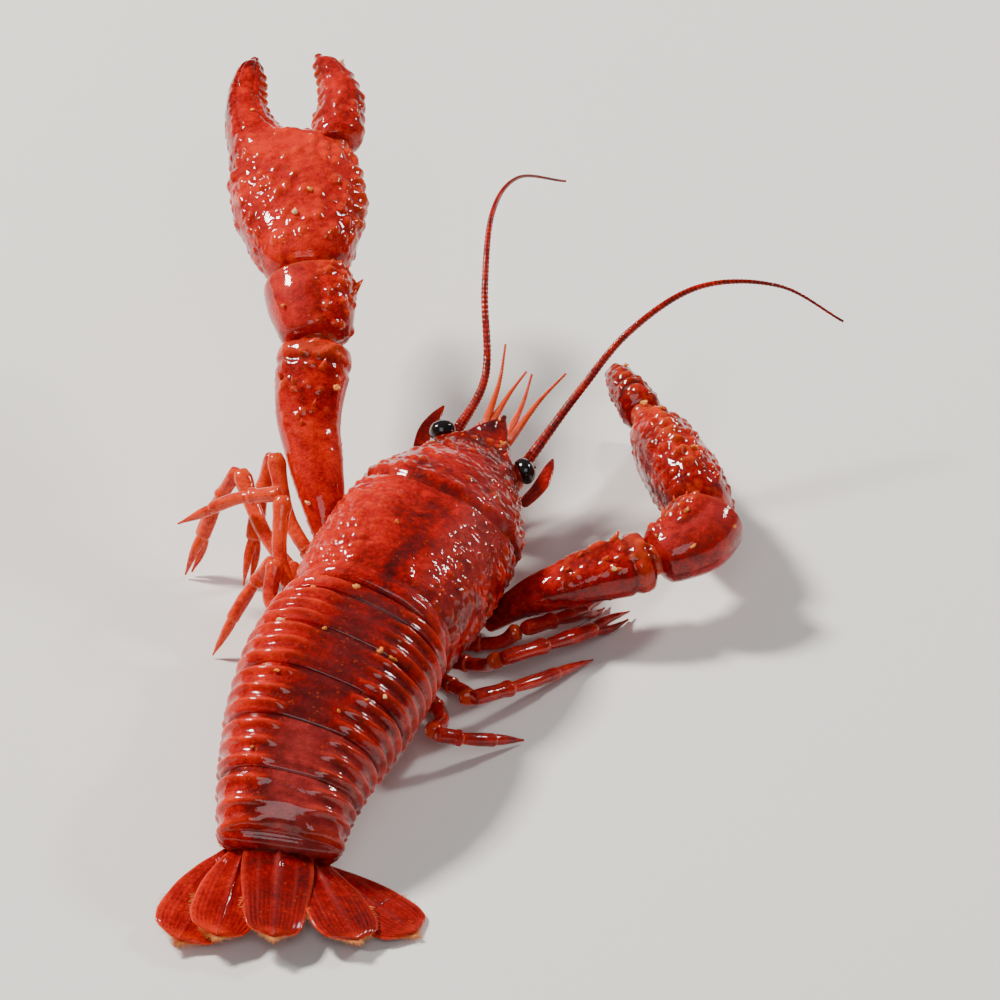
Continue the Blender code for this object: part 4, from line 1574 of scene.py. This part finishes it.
            out = (here - arm_limb.surface(t, angle, 0.4)).normalized()
            ahead = (arm[-1] - arm[-2]).normalized()
            upper.thorn(here, (out + ahead * 0.8).normalized(), size * MM, 0.36 * size * MM, 0.8, 0.8)
        hand = Part(f"palm_{self.tag}", Slot.CLAW, [f"claw_palm_{self.tag}"])
        hand.add(Skin(self.claw_surface(self.palm, place), 230, 168,
                      (0.3 * MM, 0.4 * MM)).work(self.palm_touch(place)))
        finger_place = self.finger_matrix()
        pincer = Part(f"finger_{self.tag}", Slot.CLAW, [f"claw_finger_{self.tag}"])
        skin = Skin(self.claw_surface(self.finger, finger_place), 120, 96, (0.4 * MM, 0.4 * MM))
        pincer.add(skin.work(self.finger_touch(finger_place)))
        along = (place.to_3x3() @ Vector((0, 1, 0))).normalized()
        run = (arm[-1] - arm[-2]).normalized()
        joints = [
            self.joint(f"elbow_skin_{self.tag}", (arm[-1] - run * 1.2 * MM, wrist[0] + run * 1.0 * MM),
                       2.5 * girth),
            self.joint(f"wrist_skin_{self.tag}",
                       (wrist[-1] - along * 1.0 * MM, wrist[-1] + along * 2.0 * MM), 2.7 * girth),
            self.joint(f"hinge_skin_{self.tag}", (place @ (Vector((-4.9, 21.5, 0)) * MM),
                                                  finger_place @ (Vector((-0.7, 1.6, 0)) * MM)), 1.7),
        ]
        return [upper, bulb, hand, pincer], joints


# ---------------------------------------------------------------- walking legs

@dataclass
class WalkingLeg:
    """One walking leg, from its hip to its tip, with flared knuckles between its lengths."""

    lie: Lie
    side: Side
    number: int
    along: float
    knee: Sequence[float]
    tip: Sequence[float]
    root: tuple[float, float] = (8.9, 3.1)
    knee_gap: float = 1.15 * MM

    @property
    def pinches(self) -> bool:
        """Whether the leg ends in a small pincer, as the first two pairs do."""
        return self.number < 4

    def touch(self, t: float, angle: float, point: Vector) -> tuple[float, float, float, float]:
        """Faint unevenness, and paler knuckles.

        Args:
            t: The share of its length, from 0 at the root to 1 at the end.
            angle: The angle round it, in radians; not used.
            point: The point of the plain surface.

        Returns:
            The height in metres, and the warm, pale and tip tints.
        """
        knuckle = 0.8 * smooth_step(t, 0.86, 0.98)
        # Painted light: the left legs, raised on the lit side, are made warmer than the right ones, which lie
        # under the body.
        warm = (0.88 if self.side is Side.LEFT else 0.52) + 0.12 * waves(point / MM, 5.0)
        bead = beads(point / MM, 0.7, 0.24, 0.4)
        return (0.05 * waves(point / MM, 1.6) + 0.03 * bead) * MM, warm, 0.15, 0.5 * knuckle + 0.15 * bead

    def length(self, points: Sequence[Vector], first: float, last: float, radii: Table,
               flatten: float = 0.9) -> Skin:
        """One length of the leg.

        Args:
            points: The path that it is on.
            first: Where it starts, as a share of the path.
            last: Where it ends.
            radii: Its radii in millimetres.
            flatten: Its height as a share of its width.

        Returns:
            The skin.
        """
        limb = Limb(points, scaled(radii), flatten, first=first, last=last)
        return limb.skin(30, 18, self.touch, (0.25 * MM, 0.2 * MM))

    def build(self) -> Part:
        """Models the leg.

        Returns:
            The unfinished piece.
        """
        letter, number = self.side.letter, self.number
        part = Part(f"leg_{letter}{number}", Slot.LIMB,
                    [f"leg_{letter}{number}_upper", f"leg_{letter}{number}_lower"])
        root = self.lie.upright([(self.root[0], self.along, self.root[1])], self.side)[0]
        hip = self.lie.upright([(self.root[0] - 2.6, self.along, self.root[1] - 0.9)], self.side)[0]
        knee, tip = self.lie.lying([self.knee, self.tip])
        upper_run, lower_run = (knee - root).normalized(), (tip - knee).normalized()
        crook = (upper_run - lower_run).normalized()
        middle = ((root + knee - upper_run * self.knee_gap) / 2
                  + Vector((self.side.sign * 1.3 * MM, 0, -0.4 * MM)))
        thigh = [root, middle, knee - upper_run * 0.5 * self.knee_gap]
        start = knee + lower_run * 0.4 * self.knee_gap
        shin = [start, (start + tip) / 2 + crook * 1.2 * MM, tip]
        part.add(self.length([hip, (hip + root) / 2, root], 0, 1,
                             [(0, 1.4), (0.5, 1.75), (0.9, 1.5), (1, 1.1)]))
        part.add(self.length(thigh, 0.0, 0.24, [(0, 0.85), (0.5, 0.9), (0.88, 1.05), (1, 0.8)]))
        part.add(self.length(thigh, 0.19, 1.0,
                             [(0, 0.7), (0.08, 0.82), (0.4, 0.85), (0.8, 0.95), (0.93, 1.1), (1, 0.85)]))
        part.add(self.length(shin, 0.0, 0.34,
                             [(0, 0.85), (0.15, 0.95), (0.7, 0.88), (0.92, 1.02), (1, 0.75)]))
        wide = 1.15 if self.pinches else 0.95
        part.add(self.length(shin, 0.31, 0.72,
                             [(0, 0.6), (0.15, 0.7), (0.6, wide * 0.85), (0.95, wide * 0.85), (1, 0.55)]))
        aside = crook.cross(lower_run).normalized()
        spread = 0.42 * MM if self.pinches else 0.0
        shank = [p + (aside * spread if k else Vector())
                 for k, p in enumerate((shin[1].lerp(tip, 0.30), shin[1].lerp(tip, 0.65), tip))]
        nail = [(0, 0.55), (0.25, 0.60), (0.7, 0.38), (1, 0.12)]
        part.add(self.length(shank, 0.0, 1.0, nail, 1.0))
        if self.pinches:
            mate = [shin[1].lerp(tip, 0.30), shin[1].lerp(tip, 0.65) - aside * spread * 1.7,
                    tip - aside * spread * 0.9]
            part.add(self.length(mate, 0.0, 0.93, nail, 1.0))
        return part


# ---------------------------------------------------------------- head

@dataclass
class Head:
    """The eyes, feelers, scales and outer mouth limbs."""

    lie: Lie
    eye_stalk: Sequence[Sequence[float]] = ((5, 43.5, 14.4), (5.8, 44.3, 15), (7.2, 45.7, 15.9))
    feeler_root: Sequence[Sequence[float]] = ((4.4, 43.8, 10.4), (4.8, 46.8, 10.8), (5.2, 50, 11.6))
    feeler_scale: Sequence[Sequence[float]] = ((8, 43.2, 11.2), (8.8, 47.6, 12.4), (8.4, 52.5, 13.8))
    small_feeler: Sequence[Sequence[float]] = ((1.7, 44.8, 11.8), (1.7, 50, 13.2), (2, 56, 17),
                                               (2.6, 60.5, 21.5))
    mouth_limb: Sequence[Sequence[float]] = ((2.9, 38.5, 3.9), (2.9, 43, 5.2), (2.5, 47.2, 8))
    whip_left: Sequence[Sequence[float]] = ((0.4, 48.6, 15), (-1.6, 57, 21.5), (-3, 67, 25.5), (-2, 76, 25),
                                            (2, 83.5, 20.5))
    whip_right: Sequence[Sequence[float]] = ((11.4, 48.6, 14.4), (16, 56, 19), (22.6, 63, 21.5),
                                             (31, 67.5, 20), (38.5, 68.6, 15.5))
    whip_rings: int = 95

    @staticmethod
    def plain(warm: float, pale: float = 0.1, tip: float = 0.2) -> Touch:
        """Even tints with faint unevenness."""
        return lambda t, angle, point: (0.05 * MM * waves(point / MM, 1.8), warm, pale, tip)

    def eye(self, side: Side) -> tuple[Part, Part]:
        """The eyeball and its stalk.

        Args:
            side: The side that it is on.

        Returns:
            The ball, then the stalk.
        """
        points = self.lie.on_head(self.eye_stalk, side)
        ball_radii = scaled([(0, 1.0), (0.2, 1.65), (0.5, 1.85), (0.78, 1.5), (0.95, 0.8), (1, 0.3)], T / MM)
        ball = Part(f"eye_ball_{side.letter}", Slot.EYE, [f"eye_{side.letter}"])
        ball.add(Limb(points, ball_radii, 0.95, first=0.40).skin(40, 40, self.plain(0, 0, 0),
                                                                 (0.1 * MM, 0.25 * MM)))
        stalk = Part(f"eye_stalk_{side.letter}", Slot.SHELL)
        radii = scaled([(0, 1.0), (0.4, 1.15), (0.8, 1.4), (1, 1.2)], T / MM)
        stalk.add(Limb(points, radii, 0.9, last=0.56).skin(24, 32, self.plain(0.45, 0.1, 0.15),
                                                           (0.2 * MM, 0.2 * MM)))
        return ball, stalk

    def feeler(self, side: Side) -> list[Part]:
        """One long feeler: its jointed root, its scale and its ringed whip.

        Args:
            side: The side that it is on.

        Returns:
            The unfinished pieces.
        """
        letter = side.letter
        path = self.lie.on_head(self.feeler_root, side)
        root = Part(f"feeler_base_{letter}", Slot.LIMB, [f"feeler_root_{letter}"])
        for first, last, radius in ((0, 0.36, 1.55), (0.34, 0.7, 1.35), (0.68, 1.0, 1.05)):
            radii = scaled([(0, radius * 0.8), (0.3, radius), (0.85, radius * 1.05), (1, radius * 0.7)])
            root.add(Limb(path, radii, first=first, last=last).skin(18, 26, self.plain(0.62, 0.1, 0.3),
                                                                    (0.2 * MM, 0.2 * MM)))
        scale = Part(f"feeler_blade_{letter}", Slot.LIMB, [f"feeler_scale_{letter}"])
        leaf = Limb(self.lie.on_head(self.feeler_scale, side),
                    scaled([(0, 0.7), (0.2, 0.85), (0.5, 0.9), (0.8, 0.66), (0.95, 0.3), (1, 0.15)]), 0.3)
        scale.add(leaf.skin(40, 40, lambda t, angle, point: (
            0.12 * MM * hump(math.cos(angle), 0.3, 0.12) * (1 - t), 0.36, 0.1,
            0.2 * abs(math.cos(angle)) ** 6)))
        start = path[-1] + (path[-1] - path[-2]).normalized() * 0.1 * MM
        course = [start] + self.lie.lying(self.whip_left if side is Side.LEFT else self.whip_right)
        whip = Part(f"feeler_{letter}", Slot.LIMB, [f"feeler_whip_{letter}"])
        radii = scaled([(0, 0.72), (0.12, 0.52), (0.5, 0.38), (1, 0.16)])

        def ringed(t: float, angle: float, point: Vector) -> tuple[float, float, float, float]:
            """Fine rings all along the whip."""
            ring = math.cos(2 * math.pi * self.whip_rings * t)
            return ((0.035 * (1 - 0.6 * t)) * MM * ring, 0.42 + 0.14 * ring - 0.15 * t, 0.05,
                    0.12 * max(0.0, ring))

        whip.add(Limb(course, radii).skin(self.whip_rings * 5, 12, ringed))
        return [root, scale, whip]

    def antennule(self, side: Side) -> Part:
        """One small feeler, which forks into two fine lashes.

        Args:
            side: The side that it is on.

        Returns:
            The unfinished piece.
        """
        part = Part(f"antennule_{side.letter}", Slot.LIMB, [f"small_feeler_{side.letter}"])
        path = self.lie.on_head(self.small_feeler, side)
        for first, last, radius in ((0, 0.13, 1.2), (0.12, 0.23, 1.1), (0.22, 0.33, 1.0)):
            radii = scaled([(0, radius * 0.8), (0.4, radius), (0.9, radius), (1, radius * 0.7)])
            part.add(Limb(path, radii, first=first, last=last).skin(14, 20, self.plain(0.72, 0.15, 0.4),
                                                                    (0.15 * MM, 0.15 * MM)))
        fork = along_path(path, 0.32)
        across = self.lie.body.to_3x3() @ Vector((side.sign, 0, 0.25))
        for sign, length in ((1, 1.0), (-1, 0.86)):
            ends = [along_path(path, t) + across * sign * spread * MM
                    for t, spread in ((0.5, 0.35), (0.5 + 0.25 * length, 0.8), (0.5 + 0.5 * length, 1.7))]
            lash = Limb([fork] + ends, scaled([(0, 0.66), (0.3, 0.50), (1, 0.14)]))
            part.add(lash.skin(150, 8, lambda t, angle, point: (
                0.03 * MM * math.cos(2 * math.pi * 36 * t), 0.95, 0.1, 0.6), (0.0, 0.05 * MM)))
        return part

    def mouth(self, side: Side) -> Part:
        """One outer mouth limb, in four lengths.

        Args:
            side: The side that it is on.

        Returns:
            The unfinished piece.
        """
        part = Part(f"mouth_leg_{side.letter}", Slot.LIMB, [f"mouth_limb_{side.letter}"])
        path = self.lie.on_head(self.mouth_limb, side)
        for first, last, radius in ((0, 0.42, 1.3), (0.40, 0.66, 1.15), (0.64, 0.86, 0.95),
                                    (0.84, 1.0, 0.65)):
            radii = scaled([(0, radius * 0.75), (0.3, radius), (0.85, radius * 1.02), (1, radius * 0.6)])
            part.add(Limb(path, radii, 0.85, first=first, last=last).skin(16, 22, self.plain(0.7, 0.2, 0.3),
                                                                          (0.15 * MM, 0.15 * MM)))
        return part

    def build(self) -> tuple[list[Part], list[Part], list[Part]]:
        """Models the head's limbs.

        Returns:
            The eyeballs, the stalks, then all the orange limbs.
        """
        balls, stalks, limbs = [], [], []
        for side in Side:
            ball, stalk = self.eye(side)
            balls.append(ball)
            stalks.append(stalk)
            limbs += self.feeler(side) + [self.antennule(side), self.mouth(side)]
        return balls, stalks, limbs


# ---------------------------------------------------------------- seasoning

@dataclass
class Seasoning:
    """Grains of spice that the boil left on the shell."""

    grains: int = 60
    size: tuple[float, float] = (0.22 * MM, 0.55 * MM)
    seed: int = 11

    def scatter(self, name: str, hosts: Sequence[bpy.types.Object], grains: int) -> Part:
        """Lays grains on upward faces of the hosts.

        Args:
            name: The piece's name.
            hosts: The pieces that they lie on.
            grains: How many.

        Returns:
            The unfinished piece.
        """
        dice = random.Random(self.seed + grains)
        part = Part(name, Slot.SHELL)
        while grains:
            host = dice.choice(hosts)
            face = host.data.polygons[dice.randrange(len(host.data.polygons))]
            if face.normal.z < 0.35:
                continue
            radius = dice.uniform(*self.size)
            turn = Matrix.Rotation(dice.uniform(0, math.tau), 4, Vector((dice.random(), dice.random(), 1)))
            squash = Matrix.Diagonal((1, dice.uniform(0.4, 1), dice.uniform(0.3, 0.6), 1))
            place = Matrix.Translation(face.center + face.normal * radius * 0.25) @ turn @ squash
            made = bmesh.ops.create_icosphere(part.mesh, subdivisions=2, radius=radius, matrix=place)["verts"]
            for vert in made:
                vert.co += (vert.co - face.center) * 0.85 * waves(vert.co / MM, 0.33)
            grains -= 1
        return part


# ---------------------------------------------------------------- studio

@dataclass
class Studio:
    """The pale floor, the soft lights and the camera."""

    azimuth: float = 13.0
    elevation: float = 34.0
    lens: float = 330.0
    margin: float = 1.12
    sensor: float = 36.0

    def towards_camera(self) -> Vector:
        """The direction from the crayfish to the camera."""
        a, e = math.radians(self.azimuth), math.radians(self.elevation)
        return Vector((math.sin(a) * math.cos(e), -math.cos(a) * math.cos(e), math.sin(e)))

    def floor(self) -> None:
        """Lays the floor, a flat square."""
        mesh = bmesh.new()
        bmesh.ops.create_grid(mesh, x_segments=2, y_segments=2, size=4.0)
        data = bpy.data.meshes.new("floor")
        mesh.to_mesh(data)
        mesh.free()
        book = NodeBook("pale_floor")
        book.set(Base_Color=book.mix(book.noise(9, 3), (0.80, 0.78, 0.75), (0.84, 0.82, 0.79)), Roughness=0.6)
        data.materials.append(book.material)
        floor = bpy.data.objects.new("floor", data)
        bpy.context.scene.collection.objects.link(floor)

    def light(self, name: str, place: Sequence[float], size: float, power: float, colour: Colour) -> None:
        """Hangs one soft light that faces the crayfish.

        Args:
            name: The light's name.
            place: Where it hangs, in metres.
            size: The side of its square, in metres.
            power: Its power in watts.
            colour: Its colour.
        """
        lamp = bpy.data.lights.new(name, "AREA")
        lamp.size, lamp.energy, lamp.color = size, power, colour
        holder = bpy.data.objects.new(name, lamp)
        holder.location = place
        holder.rotation_euler = (-Vector(place)).to_track_quat("-Z", "Y").to_euler()
        bpy.context.scene.collection.objects.link(holder)

    def lights(self) -> None:
        """Hangs the key behind and to the left, a second behind to the right, and a weak fill in front."""
        self.light("key", (-0.62, 0.16, 0.72), 0.16, 17.0, (1.0, 0.95, 0.88))
        self.light("back_right", (0.46, 0.44, 0.46), 0.10, 3.2, (1.0, 0.97, 0.94))
        self.light("fill", (0.20, -0.90, 0.80), 0.60, 4.0, (0.96, 0.98, 1.0))
        world = bpy.data.worlds.new("room")
        world.use_nodes = True
        world.node_tree.nodes["Background"].inputs["Color"].default_value = (0.94, 0.96, 1.0, 1)
        world.node_tree.nodes["Background"].inputs["Strength"].default_value = 0.13
        bpy.context.scene.world = world

    def camera(self) -> None:
        """Sets the camera so that the whole crayfish fills the frame."""
        back = self.towards_camera()
        right = Vector((0, 0, 1)).cross(back).normalized()
        up = back.cross(right)
        corners = [Vector(v.co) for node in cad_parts.values() for v in node.data.vertices]
        target, distance = Vector(), 1.0
        for _ in range(4):
            eye = target + back * distance
            seen = [[(c - eye).dot(axis) / (eye - c).dot(back) for c in corners] for axis in (right, up)]
            spans = [(min(values), max(values)) for values in seen]
            target += sum((axis * (low + high) / 2 * distance
                           for axis, (low, high) in zip((right, up), spans)), Vector())
            distance *= max(high - low for low, high in spans) * self.margin * self.lens / self.sensor
        data = bpy.data.cameras.new("portrait")
        data.lens, data.sensor_width = self.lens, self.sensor
        holder = bpy.data.objects.new("portrait", data)
        holder.matrix_world = (Matrix.Translation(target + back * distance)
                               @ Matrix((right, up, back)).transposed().to_4x4())
        bpy.context.scene.collection.objects.link(holder)
        bpy.context.scene.camera = holder

    def build(self) -> None:
        """Sets up the whole studio."""
        self.floor()
        self.lights()
        self.camera()


# ---------------------------------------------------------------- the whole

# The last number of each pose is its warm tint: painted light makes the raised left claw, nearer the key
# light, warmer than the right one.
ARM_POSES = {
    Side.LEFT: ArmPose(((-13.2, 25.0, 12.0), (-16.6, 33.0, 16.6), (-17.6, 40.4, 21.4)), (-21.0, 49.6, 25.2),
                       (-9.5, 31.0, 6.2), (0.05, -0.25, 1), 6, 1.0, 37.2 * MM, 0.56),
    Side.RIGHT: ArmPose(((12.0, 19.6, 5.2), (18.0, 21.8, 7.4), (24.8, 25.4, 8.6)), (29.6, 33.8, 10.0),
                        (-15.2, 27.0, -3.5), (0.83, 0.5, 0.4), 12, 0.88, 33.0 * MM, 0.40),
}
LEG_POSES = {
    Side.RIGHT: ((15.5, (12.6, 14.6, 4.4), (19.4, 27.2, 0.5)),
                 (11.5, (11.8, 7.2, 5.2), (22.6, 25.6, 0.5)),
                 (7.5, (10.2, -0.8, 5.0), (20.4, 16.0, 0.5)),
                 (3.5, (7.6, -8.0, 4.8), (16.2, -1.0, 0.5))),
    Side.LEFT: ((15.5, (-19.6, 28.0, 15.0), (-21.4, 21.8, 0.5)),
                (11.5, (-23.0, 25.2, 14.0), (-28.4, 22.4, 0.5)),
                (7.5, (-16.2, 18.6, 16.0), (-28.6, 19.4, 9.4)),
                (3.5, (-15.2, 11.2, 12.2), (-21.6, 7.4, 0.5))),
}


def main() -> None:
    """Builds the crayfish from its trunk outwards, then the studio."""
    logging.basicConfig(level=logging.INFO, format="%(name)s: %(message)s")
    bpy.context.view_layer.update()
    shell = ShellFinish("boiled_shell").make()
    tail = ShellFinish("tail_shell", mottle=0.26, coat=1.0, pores=0.25, roughness=(0.30, 0.50)).make()
    fan = ShellFinish("fan_shell", crimson=(0.17, 0.0008, 0.001), scarlet=(0.34, 0.0025, 0.001), mottle=0.20,
                      pores=0.2).make()
    claw = ShellFinish("claw_shell", mottle=0.30).make()
    limb = ShellFinish("leg_shell", scarlet=(0.42, 0.004, 0.001), orange=(0.74, 0.052, 0.004), mottle=0.26,
                       pores=0.2).make()
    joint = PlainFinish("joint_skin", (0.60, 0.05, 0.012), (0.32, 0.010, 0.003)).make()
    eye = PlainFinish("eye_black", (0.012, 0.009, 0.009), (0.004, 0.003, 0.003), 1500, 0.16, 0.6, 0.0).make()
    hair = PlainFinish("fringe_hair", (0.86, 0.34, 0.10), (0.62, 0.12, 0.04), 1200, 0.45, 0.2).make()
    cream = PlainFinish("cream_spice", (0.90, 0.62, 0.30), (0.72, 0.36, 0.12), 2500, 0.5, 0.4).make()
    amber = PlainFinish("amber_spice", (0.90, 0.32, 0.05), (0.62, 0.12, 0.02), 2500, 0.5, 0.5).make()

    lie = Lie()
    back = Carapace(lie).build().settle(shell)
    Underside(lie).build().settle(limb)
    abdomen = Abdomen(lie)
    *rings, swimmerets = abdomen.build()
    hosts = [back] + [ring.settle(tail) for ring in rings]
    swimmerets.settle(limb)
    *plates, fringe = TailFan(abdomen).build()
    for plate in plates:
        plate.settle(fan)
    fringe.settle(hair)
    for side, pose in ARM_POSES.items():
        hard, soft = Cheliped(lie, side, pose).build()
        hosts += [part.settle(claw) for part in hard]
        for part in soft:
            part.settle(joint)
    for side, legs in LEG_POSES.items():
        for number, (along, knee, tip) in enumerate(legs, start=2):
            WalkingLeg(lie, side, number, along, knee, tip).build().settle(limb)
    balls, stalks, limbs = Head(lie).build()
    for part in balls:
        part.settle(eye)
    for part in stalks:
        part.settle(shell)
    for part in limbs:
        part.settle(limb)
    spice = Seasoning()
    spice.scatter("spice_cream", hosts, 7).settle(cream)
    spice.scatter("spice_amber", hosts, 30).settle(amber)
    Studio().build()


if __name__ == "__main__":
    main()
